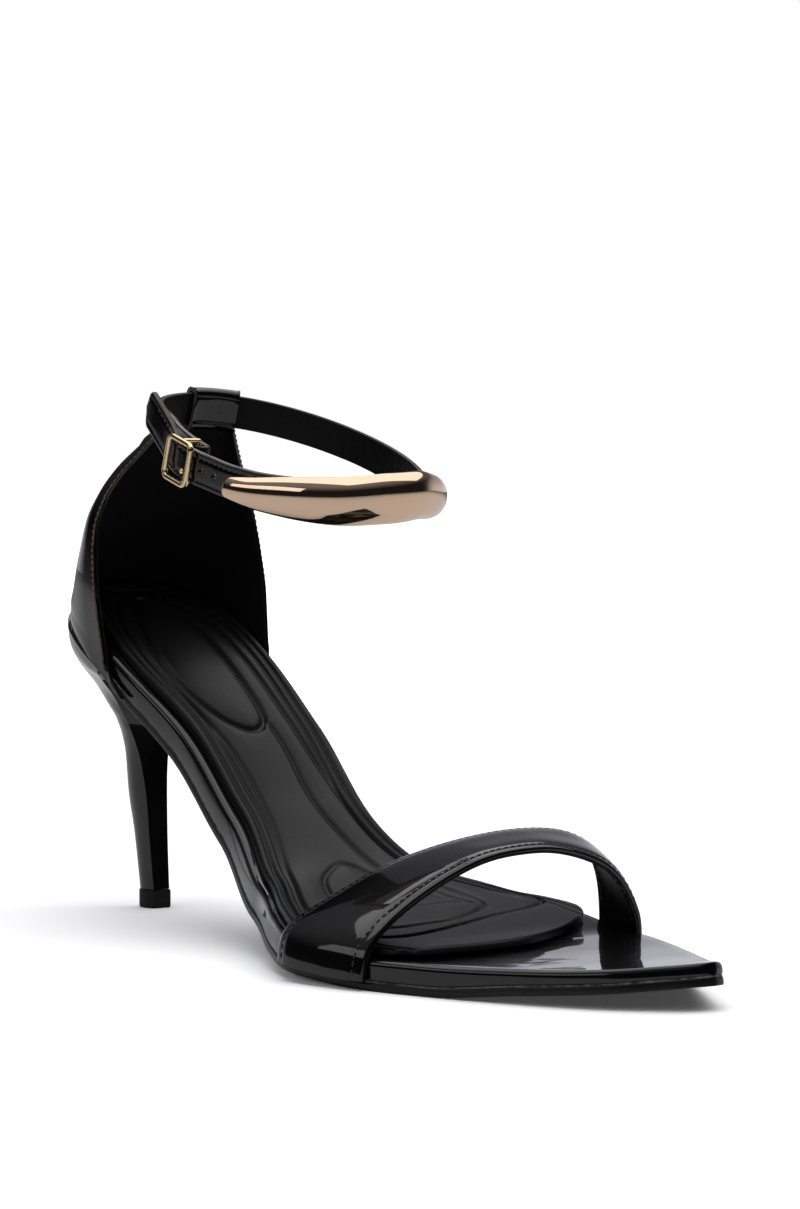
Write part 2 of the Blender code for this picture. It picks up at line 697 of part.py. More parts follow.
def build_buckle(ring, finish):
    """Frame of the buckle with its dropped centre bar."""
    at, forward, out, up = buckle_frame(ring)
    stack = strap_stack()
    half_length = (BUCKLE_LENGTH - WIRE) / 2
    half_height = STRAP_WIDTH / 2 + GAP + BAR / 2
    corner = BUCKLE_CORNER
    path = []
    quarter = np.linspace(0, math.pi / 2, 5)
    for number, (sx, sy) in enumerate(((1, 1), (-1, 1), (-1, -1), (1, -1))):
        for angle in quarter + number * math.pi / 2:
            path.append((sx * (half_length - corner) + corner * math.cos(angle),
                         sy * (half_height - corner) + corner * math.sin(angle)))
    centre = at + out * stack["frame"]
    loop = [centre + forward * a + up * b for a, b in path]
    frame = tube("buckle", loop, WIRE / 2, finish, out, closed=True)
    drop = stack["bar"] - stack["frame"]
    corner = 0.9 * MM
    bar = [(half_height, 0.0), (half_height, drop + 2 * corner)]
    bar += [(half_height - corner * (1 - math.cos(a)), drop + corner * (1 - math.sin(a)))
            for a in quarter]
    bar += [(-height, depth) for height, depth in reversed(bar)]
    bar = [centre + up * height + out * depth for height, depth in bar]
    combine(frame, tube("bar_tool", bar, BAR / 2, finish, forward), "UNION")
    return frame


def build_prong(ring, finish):
    """Tongue of the buckle, through the strap and resting on the front bar."""
    at, forward, out, up = buckle_frame(ring)
    stack = strap_stack()
    radius = PRONG / 2
    root = stack["bar"] + BAR / 2 + GAP + radius
    above = stack["outer"] + STRAP_THICK / 2 + GAP + radius
    rest = stack["frame"] + WIRE / 2 + GAP + radius
    front_bar = (BUCKLE_LENGTH - WIRE) / 2
    route = [(0.2 * MM, root), (0.35 * MM, (root + above) / 2), (0.9 * MM, above),
             (0.45 * front_bar, 0.35 * above + 0.65 * rest), (0.85 * front_bar, rest),
             (front_bar + 0.6 * MM, rest)]
    points = [at + forward * a + out * b - up * PRONG_DROP for a, b in route]
    return tube("prong", points, radius, finish, up, taper=(1, 1, 1, 1, 1, 0.8))


def sleeve(name, ring, near, far, grow, finish):
    """Solid that follows the strap from near to far, larger by grow all round."""
    angle = np.linspace(near, far, 11)
    _, out = ring.frame(angle)
    up = np.tile(ring.up, (len(angle), 1))
    height = np.full(len(angle), STRAP_WIDTH / 2 + grow)
    thick = np.full(len(angle), STRAP_THICK / 2 + grow)
    return lofted(name, band_rings(ring.point(angle), out, up, height, thick), finish)


def build_counter(ring, finish):
    """Closed back of the upper, one wall with the strap's tunnel at its top."""
    counter = slab("counter", counter_face(WALL), counter_face(0.0), finish)
    tunnel = sleeve("tunnel_tool", ring, TUNNEL_NEAR, TUNNEL_FAR, GAP + TUNNEL_WALL, finish)
    passage = sleeve("passage_cutter", ring, TUNNEL_NEAR - PASSAGE_EXTRA,
                     TUNNEL_FAR + PASSAGE_EXTRA, GAP, finish)
    combine(counter, tunnel, "UNION")
    combine(counter, passage, "DIFFERENCE")
    return counter


def build_bangle(ring, finish):
    """Puffy crescent of metal round the front of the ankle strap."""
    angle = math.pi + BANGLE_HALF_ANGLE * np.sin(np.linspace(-math.pi / 2, math.pi / 2, 35))
    share = (angle - math.pi) / BANGLE_HALF_ANGLE
    swell = np.sqrt(np.clip(1 - share ** 2, 0.0, 1.0))
    cap = np.clip(swell / 0.22, 0.0, 1.0)
    cap = np.sqrt(1 - (1 - np.maximum(cap, 0.12)) ** 2)
    body = np.clip(1 - np.abs(share) ** 2.2, 0.0, 1.0)
    height = (BANGLE_END_HEIGHT + (BANGLE_HEIGHT - BANGLE_END_HEIGHT) * body) * cap
    depth = (BANGLE_END_DEPTH + (BANGLE_DEPTH - BANGLE_END_DEPTH) * body) * cap
    drop = BANGLE_END_DROP * np.abs(share) ** 3
    _, out = ring.frame(angle)
    seat = STRAP_THICK / 2 + GAP
    around = np.linspace(0, 2 * math.pi, 16, endpoint=False)
    rings = []
    for a, n, h, d, low in zip(angle, out, height, depth, drop):
        # the inner half of the section is flatter than the outer one
        reach = np.where(np.cos(around) > 0, np.cos(around), 0.45 * np.cos(around))
        middle = ring.point(a) + n * (seat + 0.31 * d) - ring.up * low
        rings.append([middle + n * r * 0.69 * d + ring.up * s * h / 2
                      for r, s in zip(reach, np.sin(around))])
    return lofted("bangle", np.array(rings), finish, sharp=60.0)


def band_point(across, up, edge, front):
    """Point of the toe strap's outer face.

    edge is the outward distance of the face from the board's side, and front
    is 0 on the strap's back edge and 1 on its front edge.
    """
    lateral = BAND_LATERAL[0] + (BAND_LATERAL[1] - BAND_LATERAL[0]) * front
    medial = BAND_MEDIAL[0] + (BAND_MEDIAL[1] - BAND_MEDIAL[0]) * front
    x = lateral + (medial - lateral) * across
    low = SOLE.swing_at(x) - SOLE.half_at(x) - edge
    high = SOLE.swing_at(x) + SOLE.half_at(x) + edge
    return x, low + (high - low) * across, up


def build_toe_strap(finish):
    """Band across the toes, from the seam on one side to the seam on the other."""
    rows = len(BAND_TABLE)
    row = np.linspace(0.0, rows - 1.0, 41)
    back_y, back_z, front_y, front_z = (
        smooth(np.arange(rows), BAND_TABLE[:, c], row) for c in range(4))
    edge = GAP + BAND_THICK
    width = np.linspace(0.0, 1.0, 5)
    grid = []
    for i in range(len(row)):
        across = back_y[i] + (front_y[i] - back_y[i]) * width
        up = BAND_ARCH * (back_z[i] + (front_z[i] - back_z[i]) * width)
        grid.append(np.stack(band_point(across, up, edge, width), axis=-1))
    feet = []
    for side in (0.0, 1.0):
        x, y, _ = band_point(np.full(5, side), 0.0, edge, width)
        feet.append(np.stack([x, y, SOLE.underside(x)], axis=-1))
    outer = np.array([feet[0]] + grid + [feet[1]])
    normal = grid_normals(outer)
    middle = len(outer) // 2
    if normal[middle, 2, 2] < 0:
        normal = -normal
    for row_index, sign in ((0, -1.0), (-1, 1.0)):
        normal[row_index] = (0.0, sign, 0.0)
    inner = outer - normal * BAND_THICK
    return slab("toe_strap", outer, inner, finish)


def main():
    """Build every piece of the sandal."""
    for old in list(bpy.data.objects):
        bpy.data.objects.remove(old, do_unlink=True)
    patent = material("black_patent", (0.008, 0.008, 0.009), 0.08)
    matte = material("black_sock_lining", (0.012, 0.012, 0.013), 0.55)
    rubber = material("black_rubber", (0.015, 0.015, 0.016), 0.5)
    rose = material("rose_gold", (0.62, 0.42, 0.32), 0.06, 1.0)
    gold = material("pale_gold", (0.72, 0.50, 0.24), 0.12, 1.0)
    ring = Ring()
    build_outsole(rubber)
    build_platform(patent)
    build_sock(matte)
    build_heel(patent)
    build_top_lift(rubber)
    build_counter(ring, patent)
    build_toe_strap(patent)
    build_ankle_strap(ring, patent)
    build_bangle(ring, rose)
    build_buckle(ring, gold)
    build_prong(ring, gold)


main()
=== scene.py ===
"""Looks of a strappy heeled sandal for the right foot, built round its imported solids.

Metres, +Z up, +X towards the toe, +Y towards the medial (inner) side of the foot.
The origin is the centre of the heel tip's face on the floor.
"""

from __future__ import annotations

import logging
import math
from collections.abc import Callable
from dataclasses import dataclass
from enum import Enum
from typing import Any

import bmesh
import bpy
import numpy as np
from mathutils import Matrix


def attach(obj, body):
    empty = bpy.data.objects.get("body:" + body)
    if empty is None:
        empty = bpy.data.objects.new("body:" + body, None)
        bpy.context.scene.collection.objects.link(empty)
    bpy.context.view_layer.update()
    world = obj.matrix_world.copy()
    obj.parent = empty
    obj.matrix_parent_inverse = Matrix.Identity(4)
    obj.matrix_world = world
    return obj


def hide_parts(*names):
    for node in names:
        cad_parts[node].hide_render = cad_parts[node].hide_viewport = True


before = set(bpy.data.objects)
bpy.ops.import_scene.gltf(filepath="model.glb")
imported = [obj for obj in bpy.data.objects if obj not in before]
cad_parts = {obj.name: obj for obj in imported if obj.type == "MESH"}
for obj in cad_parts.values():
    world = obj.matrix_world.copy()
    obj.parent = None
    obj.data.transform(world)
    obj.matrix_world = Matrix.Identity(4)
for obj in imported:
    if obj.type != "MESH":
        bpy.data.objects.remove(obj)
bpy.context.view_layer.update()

LOG = logging.getLogger("sandal")
Array = np.ndarray
Measure = Callable[[Array], Array]      # a size that changes with the station
MM = 0.001
GAP = 0.3 * MM          # clearance that two neighbouring pieces keep
BODY = "root"


class Slot(Enum):
    """Material slots of the record, one handed to place with each piece."""

    OUTSOLE = "outsole_rubber"
    LIFT = "lift_rubber"
    PATENT = "patent"
    SOCK = "sock_leather"
    ROSE = "rose_gold"
    PALE = "pale_gold"


# Shape helpers


def smooth(table_x: Array, table_y: Array, x: Array) -> Array:
    """Cubic through a table's points that never overshoots them.

    Each tangent is the harmonic mean of the slopes beside it, or 0 at a peak.

    Args:
        table_x: Places of the table, rising.
        table_y: Values at those places.
        x: Places to read.

    Returns:
        The values at x.
    """
    table_x = np.asarray(table_x, float)
    table_y = np.asarray(table_y, float)
    step = np.diff(table_x)
    slope = np.diff(table_y) / step
    before, after = slope[:-1], slope[1:]
    both = before * after > 0
    total = np.where(both, before + after, 1.0)
    middle = np.where(both, 2.0 * before * after / total, 0.0)
    tangent = np.concatenate([slope[:1], middle, slope[-1:]])
    x = np.clip(x, table_x[0], table_x[-1])
    i = np.clip(np.searchsorted(table_x, x) - 1, 0, len(step) - 1)
    t = (x - table_x[i]) / step[i]
    rise = tangent[i] * step[i]
    fall = tangent[i + 1] * step[i]
    low, high = table_y[i], table_y[i + 1]
    return (low * (1 + 2 * t) * (1 - t) ** 2 + rise * t * (1 - t) ** 2
            + high * t * t * (3 - 2 * t) + fall * t * t * (t - 1))


def read_table(table: tuple, at: Array) -> list[Array]:
    """Columns after a table's first one, read at places of the first."""
    rows = np.array(table)
    return [smooth(rows[:, 0], column, at) for column in rows.T[1:]]


def even_table(table: tuple, count: int) -> list[Array]:
    """Columns of a table at even steps from its first row to its last.

    Args:
        table: Its rows.
        count: How many steps to read.

    Returns:
        The columns, each as (count, 1).
    """
    rows = np.array(table)
    step = np.linspace(0.0, len(rows) - 1.0, count)
    return [smooth(np.arange(len(rows)), column, step)[:, None] for column in rows.T]


def signed_power(value: Array, exponent: float) -> Array:
    """Power that keeps the sign of its base."""
    return np.sign(value) * np.abs(value) ** exponent


def unit(vectors: Array) -> Array:
    """Vectors scaled to length 1."""
    return vectors / np.maximum(np.linalg.norm(vectors, axis=-1, keepdims=True), 1e-12)


def travelled(line: Array) -> Array:
    """Distance from a line's start to each of its points."""
    return np.concatenate([[0.0], np.cumsum(np.linalg.norm(np.diff(line, axis=0), axis=1))])


def curve_through(points: Array, count: int, closed: bool = False) -> Array:
    """Catmull-Rom curve: a cubic to each span, each end slope half its neighbours' chord.

    Args:
        points: The points that the curve runs through.
        count: How many points to return.
        closed: Whether the curve returns to its start.

    Returns:
        Points along the curve.
    """
    points = np.asarray(points, float)
    if closed:
        rim = np.concatenate([points[-1:], points, points[:2]])
    else:
        rim = np.concatenate([2 * points[:1] - points[1:2], points,
                              2 * points[-1:] - points[-2:-1]])
    place = np.linspace(0.0, len(rim) - 3, count)
    i = np.minimum(place.astype(int), len(rim) - 4)
    t = (place - i)[:, None]
    a, b, c, d = rim[i], rim[i + 1], rim[i + 2], rim[i + 3]
    return 0.5 * (2 * b + (c - a) * t + (2 * a - 5 * b + 4 * c - d) * t ** 2
                  + (3 * b - a - 3 * c + d) * t ** 3)


def spread(start: float, end: float, count: int, crowd: float = 0.55) -> Array:
    """Stations from start to end, a mix of even steps and of cosine ones.

    Args:
        start: The first station.
        end: The last one.
        count: How many to return.
        crowd: Share of the cosine steps, which crowd towards both ends.

    Returns:
        The stations.
    """
    even = np.linspace(0.0, 1.0, count)
    round_off = (1 - np.cos(even * math.pi)) / 2
    return start + (end - start) * (crowd * round_off + (1 - crowd) * even)


def grid_faces(rows: int, columns: int, wrap: bool = False) -> Array:
    """Quads between neighbouring rows and columns of a grid of points.

    Args:
        rows: Number of rows.
        columns: Number of points in a row.
        wrap: Whether a row's last point joins its first.

    Returns:
        Indices, four to a face, row by row.
    """
    row = np.arange(rows - 1)[:, None] * columns
    column = np.arange(columns if wrap else columns - 1)[None, :]
    beside = (column + 1) % columns
    a, b = row + column, row + beside
    return np.stack([a, b, b + columns, a + columns], axis=-1).reshape(-1, 4)


def grid_normals(grid: Array) -> Array:
    """Unit normals of a grid: the cross product of its two differences."""
    return unit(np.cross(np.gradient(grid, axis=0), np.gradient(grid, axis=1)))


def along_grid(grid: Array, share: float) -> Array:
    """The line of a grid at a share of the way from its first column to its last.

    Args:
        grid: Points as (rows, columns, 3).
        share: The share, from 0 to 1.

    Returns:
        One point for each row.
    """
    place = share * (grid.shape[1] - 1)
    i = min(int(place), grid.shape[1] - 2)
    return grid[:, i] + (grid[:, i + 1] - grid[:, i]) * (place - i)


def add_object(name: str, data: Any) -> bpy.types.Object:
    """Adds an object with its data to the scene.

    Args:
        name: The object's name.
        data: Its mesh, light or camera.

    Returns:
        The new object.
    """
    made = bpy.data.objects.new(name, data)
    bpy.context.scene.collection.objects.link(made)
    return made


def add_piece(name: str, points: Array, faces: list, materials: list,
              slots: Array | None = None, sharp: float = 35.0) -> bpy.types.Object:
    """One piece from points and faces, with its faces pointing out.

    Args:
        name: The piece's name.
        points: Its points, one to a row.
        faces: Its faces, as lists of indices.
        materials: Its materials.
        slots: Index of each face's material, or None for the first one.
        sharp: Angle in degrees past which an edge stays crisp.

    Returns:
        The new object, at the origin.
    """
    mesh = bpy.data.meshes.new(name)
    mesh.from_pydata(points.tolist(), [], faces)
    for finish in materials:
        mesh.materials.append(finish)
    if slots is not None:
        mesh.polygons.foreach_set("material_index", np.asarray(slots, dtype=np.int32))
    shape = bmesh.new()
    shape.from_mesh(mesh)
    bmesh.ops.recalc_face_normals(shape, faces=shape.faces)
    shape.to_mesh(mesh)
    shape.free()
    mesh.shade_smooth()
    mesh.set_sharp_from_angle(angle=math.radians(sharp))
    return add_object(name, mesh)


def place(piece: bpy.types.Object, slot: Slot, *nodes: str) -> bpy.types.Object:
    """Puts a piece on the shoe's body, in place of solids.

    Args:
        piece: The finished piece.
        slot: The record's slot of its finish; not used.
        nodes: Names of the solids that it stands for.

    Returns:
        The same piece.
    """
    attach(piece, BODY)
    if nodes:
        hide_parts(*nodes)
    LOG.info("%s: %d faces", piece.name, len(piece.data.polygons))
    return piece


def loft(name: str, rings: Array, material: Any, closed: bool = False,
         sharp: float = 35.0) -> bpy.types.Object:
    """Skin through rings of points, its ends closed by a fan to each ring's middle.

    Args:
        name: The piece's name.
        rings: Points as (rings, points round, 3).
        material: Its material.
        closed: Whether the last ring joins the first.
        sharp: Angle in degrees past which an edge stays crisp.

    Returns:
        The new object.
    """
    if closed:
        rings = np.concatenate([rings, rings[:1]])
    count, sides = rings.shape[:2]
    points = rings.reshape(-1, 3)
    quads = grid_faces(count, sides, wrap=True)
    if closed:
        quads = quads % ((count - 1) * sides)
        return add_piece(name, points[:-sides], quads.tolist(), [material], sharp=sharp)
    poles = np.stack([rings[0].mean(axis=0), rings[-1].mean(axis=0)])
    first = np.arange(sides)
    last = first + (count - 1) * sides
    size = len(points)
    fans = [np.stack([ring, np.roll(ring, -1), np.full(sides, size + end)], axis=-1)
            for end, ring in enumerate((first, last))]
    faces = quads.tolist() + fans[0].tolist() + fans[1].tolist()
    return add_piece(name, np.concatenate([points, poles]), faces, [material], sharp=sharp)


def sheet_wall(name: str, outer: Array, inner: Array, bulge: float, materials: list,
               edge_slots: tuple[int, ...], sharp: float = 50.0) -> bpy.types.Object:
    """Closed sheet between an outer and an inner face, with round long edges.

    Along an edge the points are middle + half cos(a) + away |half| bulge sin(a),
    with a from 0 on the outer face to 180 degrees on the inner one, half the
    vector from the middle to the outer face, and away the direction off the sheet.

    Args:
        name: The piece's name.
        outer: Outer face as (stations, points across, 3).
        inner: Inner face, the same size.
        bulge: How round the edges are, 1 for a half circle.
        materials: Its materials: 0 outer face, 1 inner face, others on the edges.
        edge_slots: Material of each strip of an edge, from outside to inside.
        sharp: Angle in degrees past which an edge stays crisp.

    Returns:
        The new object.
    """
    steps = len(edge_slots)
    turn = np.linspace(0.0, math.pi, steps + 1)[1:-1]

    def edge(top: Array, low: Array, before: Array) -> Array:
        """Points of a round edge.

        Args:
            top: Its line on the outer face.
            low: Its line on the inner face.
            before: The line next to it within the sheet.

        Returns:
            Points as (stations, points, 3), from top to low.
        """
        middle, half = (top + low) / 2, (top - low) / 2
        reach = np.linalg.norm(half, axis=1, keepdims=True)
        away = unit(middle - before) * reach * bulge
        return (middle[:, None] + half[:, None] * np.cos(turn)[None, :, None]
                + away[:, None] * np.sin(turn)[None, :, None])

    within = (outer + inner) / 2
    right = edge(outer[:, -1], inner[:, -1], within[:, -2])
    left = edge(inner[:, 0], outer[:, 0], within[:, 1])
    rings = np.concatenate([outer, right, inner[:, ::-1], left], axis=1)
    rows, columns = rings.shape[:2]
    across = outer.shape[1]
    kinds = ([0] * (across - 1) + list(edge_slots) + [1] * (across - 1)
             + list(reversed(edge_slots)))
    faces = grid_faces(rows, columns, wrap=True).tolist()
    slots = kinds * (rows - 1)
    inside = across + steps - 1
    for base in (0, (rows - 1) * columns):
        for j in range(across - 1):
            low = inside + across - 1 - j
            faces.append([base + j, base + j + 1, base + low - 1, base + low])
            slots.append(0)
        faces.append([base + k for k in range(across - 1, inside + 1)])
        faces.append([base + k % columns for k in range(inside + across - 1, columns + 1)])
        slots += [0, 0]
    return add_piece(name, rings.reshape(-1, 3), faces, materials, slots, sharp)


def tube_rings(points: Array, radius: float, up: Array, sides: int, taper: Array | None = None,
               closed: bool = False, flat: float = 1.0, square: float = 2.0) -> Array:
    """Rings round a path: a superellipse in the plane across the path's travel.

    Args:
        points: The path's points.
        radius: Half the wire's width, in metres.
        up: A direction that the path stays clear of.
        sides: Points to a ring.
        taper: Share of the radius at each point, or None for 1.
        closed: Whether the path is a loop.
        flat: Height of the section as a share of its width.
        square: The superellipse's exponent, 2 for an ellipse.

    Returns:
        Rings as (points, sides, 3).
    """
    if closed:
        travel = np.roll(points, -1, axis=0) - np.roll(points, 1, axis=0)
    else:
        travel = np.gradient(points, axis=0)
    travel = unit(travel)
    side = unit(np.cross(travel, up))
    other = np.cross(side, travel)
    turn = np.linspace(0, 2 * math.pi, sides, endpoint=False)
    a = signed_power(np.cos(turn), 2 / square)[None, :, None]
    b = signed_power(np.sin(turn), 2 / square)[None, :, None] * flat
    size = (radius if taper is None else radius * taper) * np.ones(len(points))
    return points[:, None] + size[:, None, None] * (a * side[:, None] + b * other[:, None])


@dataclass(frozen=True)
class Stitch:
    """One stitch of a seam: a spindle, half sunk in the leather."""

    pitch: float                    # from one stitch to the next
    length: float
    thick: float
    proud: float = 0.10             # rise of its middle, as a share of its thickness
    stations: tuple = (-0.96, -0.55, 0.0, 0.55, 0.96)    # shares of its half length
    sides: int = 6


def sew(name: str, line: Array, normal: Array, stitch: Stitch, thread: Any) -> None:
    """Builds and places a row of stitches along a line.

    A stitch's section has the radius thick/2 times the square root of 1 - s squared,
    with s from -1 to 1 along its length.

    Args:
        name: The row's name.
        line: Points of the seam's line on the leather.
        normal: Outward normals of the leather at those points.
        stitch: The sizes of one stitch.
        thread: The thread's material.
    """
    gone = travelled(line)
    middles = np.arange(stitch.pitch / 2, gone[-1] - stitch.pitch / 2, stitch.pitch)

    def read(values: Array, at: Array) -> Array:
        """Values at a travelled distance along the line."""
        return np.stack([np.interp(at, gone, values[:, k]) for k in range(3)], axis=-1)

    out = unit(read(normal, middles))
    ahead = unit(read(line, middles + stitch.length / 2) - read(line, middles - stitch.length / 2))
    rows, sides = np.array(stitch.stations), stitch.sides
    turn = np.linspace(0, 2 * math.pi, sides, endpoint=False)
    radius = stitch.thick / 2 * np.sqrt(1 - rows ** 2)
    local = np.stack([
        np.broadcast_to(rows[:, None] * stitch.length / 2, (len(rows), sides)),
        radius[:, None] * np.cos(turn)[None, :],
        radius[:, None] * np.sin(turn)[None, :] + stitch.proud * stitch.thick,
    ], axis=-1).reshape(-1, 3)
    axes = np.stack([ahead, unit(np.cross(out, ahead)), out], axis=1)
    points = read(line, middles)[:, None] + np.einsum("pk,skc->spc", local, axes)
    size = len(rows) * sides
    one = grid_faces(len(rows), sides, wrap=True).tolist()
    one += [list(range(sides - 1, -1, -1)), list(range(size - sides, size))]
    faces = [[k + size * s for k in face] for s in range(len(middles)) for face in one]
    place(add_piece(name, points.reshape(-1, 3), faces, [thread], sharp=60.0), Slot.PATENT)


def cut(target: bpy.types.Object, cutters: list) -> None:
    """Cuts closed solids out of a piece and keeps the result in its mesh.

    Args:
        target: The piece to cut.
        cutters: Solids to take away, which are then deleted.
    """
    for cutter in cutters:
        change = target.modifiers.new("cut", "BOOLEAN")
        change.operation = "DIFFERENCE"
        change.solver = "EXACT"
        change.object = cutter
    graph = bpy.context.evaluated_depsgraph_get()
    mesh = bpy.data.meshes.new_from_object(target.evaluated_get(graph))
    target.modifiers.clear()
    old, target.data = target.data, mesh
    bpy.data.meshes.remove(old)
    for cutter in cutters:
        bpy.data.meshes.remove(cutter.data)


# Finishes


def linear(colour: str) -> tuple[float, float, float, float]:
    """Linear colour of an sRGB hex value such as #1a1a1a."""
    share = [int(colour[k:k + 2], 16) / 255 for k in (1, 3, 5)]
    return (*(c / 12.92 if c <= 0.04045 else ((c + 0.055) / 1.055) ** 2.4 for c in share), 1.0)


WHITE = linear("#ffffff")


def add_node(tree: bpy.types.NodeTree, kind: str, settings: dict | None = None,
             inputs: dict | None = None) -> bpy.types.Node:
    """Adds a node with its settings and its inputs' values or links.

    Args:
        tree: The node tree.
        kind: The node's type.
        settings: Attribute names and values.
        inputs: Input names or numbers, each with a value or an output to link.

    Returns:
        The new node.
    """
    node = tree.nodes.new(kind)
    for key, value in (settings or {}).items():
        setattr(node, key, value)
    for key, value in (inputs or {}).items():
        if isinstance(value, bpy.types.NodeSocket):
            tree.links.new(value, node.inputs[key])
        else:
            node.inputs[key].default_value = value
    return node


def shaded(name: str, **values: Any) -> tuple[bpy.types.Material, Any, Any, Any]:
    """A principled material with the given values on its sockets.

    Args:
        name: The material's name.
        values: Socket names with underscores for spaces, and their values.

    Returns:
        The material, its node tree, its shader and the object coordinates.
    """
    made = bpy.data.materials.new(name)
    made.use_nodes = True
    tree = made.node_tree
    shader = tree.nodes["Principled BSDF"]
    for key, value in values.items():
        shader.inputs[key.replace("_", " ")].default_value = value
    where = add_node(tree, "ShaderNodeTexCoord").outputs["Object"]
    return made, tree, shader, where


def bumped(tree: Any, shader: Any, height: Any, depth: float) -> Any:
    """Links a bump to a shader.

    Args:
        tree: The node tree.
        shader: The shader.
        height: Output that gives the height, from 0 to 1.
        depth: The real depth of a height of 1, in metres.

    Returns:
        The bump's output.
    """
    bump = add_node(tree, "ShaderNodeBump", {}, {
        "Height": height, "Distance": depth, "Strength": 1.0})
    tree.links.new(bump.outputs["Normal"], shader.inputs["Normal"])
    return bump.outputs["Normal"]


@dataclass(frozen=True)
class PatentLeather:
    """Patent leather: calf coated with a poured film of clear resin, which gives
    wet-looking, slightly rippled mirror reflections on a near-black ground."""

    name: str = "patent_leather"
    colour: str = "#050506"
    roughness: float = 0.30
    coat_roughness: float = 0.035
    ripple: float = 7.0 * MM        # distance between the film's ripples
    ripple_depth: float = 0.035 * MM

    def make(self) -> bpy.types.Material:
        """Builds the material.

        Returns:
            The material.
        """
        made, tree, shader, where = shaded(
            self.name, Base_Color=linear(self.colour), Roughness=self.roughness, IOR=1.5,
            Specular_IOR_Level=0.04, Coat_Weight=1.0, Coat_Roughness=self.coat_roughness,
            Coat_IOR=1.5)
        ripple = add_node(tree, "ShaderNodeTexNoise", {}, {
            "Vector": where, "Scale": 1 / self.ripple, "Detail": 1.5, "Roughness": 0.35})
        bump = bumped(tree, shader, ripple.outputs["Fac"], self.ripple_depth)
        tree.links.new(bump, shader.inputs["Coat Normal"])
        return made


@dataclass(frozen=True)
class GrainLeather:
    """Drum-dyed lining leather: a fine pebble of grain and a dull sheen, so its
    embossed channels read by soft shading."""

    name: str = "grain_leather"
    colour: str = "#070708"
    worn: str = "#0d0d0f"
    roughness: float = 0.36
    grain: float = 0.9 * MM         # real grain is about 0.3 mm, drawn coarser so that it shows
    grain_depth: float = 0.018 * MM
    patch: float = 14.0 * MM        # size of the parts that the dye has taken unevenly

    def make(self) -> bpy.types.Material:
        """Builds the material.

        Returns:
            The material.
        """
        made, tree, shader, where = shaded(
            self.name, Roughness=self.roughness, IOR=1.45, Specular_IOR_Level=0.19)
        pebble = add_node(tree, "ShaderNodeTexVoronoi", {"feature": "SMOOTH_F1"}, {
            "Vector": where, "Scale": 1 / self.grain, "Smoothness": 0.6})
        patch = add_node(tree, "ShaderNodeTexNoise", {}, {
            "Vector": where, "Scale": 1 / self.patch, "Detail": 3.0})
        tone = add_node(tree, "ShaderNodeMix", {"data_type": "RGBA"}, {
            "Factor": patch.outputs["Fac"], 6: linear(self.colour), 7: linear(self.worn)})
        tree.links.new(tone.outputs[2], shader.inputs["Base Color"])
        bumped(tree, shader, pebble.outputs["Distance"], self.grain_depth)
        return made


@dataclass(frozen=True)
class Suede:
    """Suede lining: a brushed nap that swallows light and only glows faintly at
    grazing angles."""

    name: str = "suede_lining"
    colour: str = "#050506"
    nap: float = 0.8 * MM           # real nap is finer, drawn as coarse as it needs to show
    nap_depth: float = 0.06 * MM

    def make(self) -> bpy.types.Material:
        """Builds the material.

        Returns:
            The material.
        """
        made, tree, shader, where = shaded(
            self.name, Base_Color=linear(self.colour), Roughness=0.95, Specular_IOR_Level=0.12,
            Sheen_Weight=0.02, Sheen_Roughness=0.6)
        fibre = add_node(tree, "ShaderNodeTexNoise", {}, {
            "Vector": where, "Scale": 1 / self.nap, "Detail": 4.0, "Roughness": 0.7})
        bumped(tree, shader, fibre.outputs["Fac"], self.nap_depth)
        return made


@dataclass(frozen=True)
class StrapLining:
    """Soft kid lining of a strap: matte, creased across by the strap's bend."""

    name: str = "kid_lining"
    colour: str = "#08080a"
    crease: float = 2.2 * MM
    crease_depth: float = 0.16 * MM
    stretch: float = 0.45           # creases per length up the strap against round it

    def make(self) -> bpy.types.Material:
        """Builds the material.

        Returns:
            The material.
        """
        made, tree, shader, where = shaded(
            self.name, Base_Color=linear(self.colour), Roughness=0.50, IOR=1.45,
            Specular_IOR_Level=0.18)
        upright = add_node(tree, "ShaderNodeMapping", {}, {
            "Vector": where, "Scale": (1.0, 1.0, self.stretch)})
        crease = add_node(tree, "ShaderNodeTexNoise", {}, {
            "Vector": upright.outputs["Vector"], "Scale": 1 / self.crease, "Detail": 3.0,
            "Roughness": 0.55})
        bumped(tree, shader, crease.outputs["Fac"], self.crease_depth)
        return made


@dataclass(frozen=True)
class MouldedRubber:
    """Moulded rubber: an even, slightly waxy black with a fine matte tooth."""

    name: str = "moulded_rubber"
    colour: str = "#0e0e0f"
    roughness: float = 0.42
    tooth: float = 0.7 * MM
    tooth_depth: float = 0.02 * MM

    def make(self) -> bpy.types.Material:
        """Builds the material.

        Returns:
            The material.
        """
        made, tree, shader, where = shaded(
            self.name, Base_Color=linear(self.colour), Roughness=self.roughness, IOR=1.52,
            Specular_IOR_Level=0.30)
        tooth = add_node(tree, "ShaderNodeTexNoise", {}, {
            "Vector": where, "Scale": 1 / self.tooth, "Detail": 2.0})
        bumped(tree, shader, tooth.outputs["Fac"], self.tooth_depth)
        return made


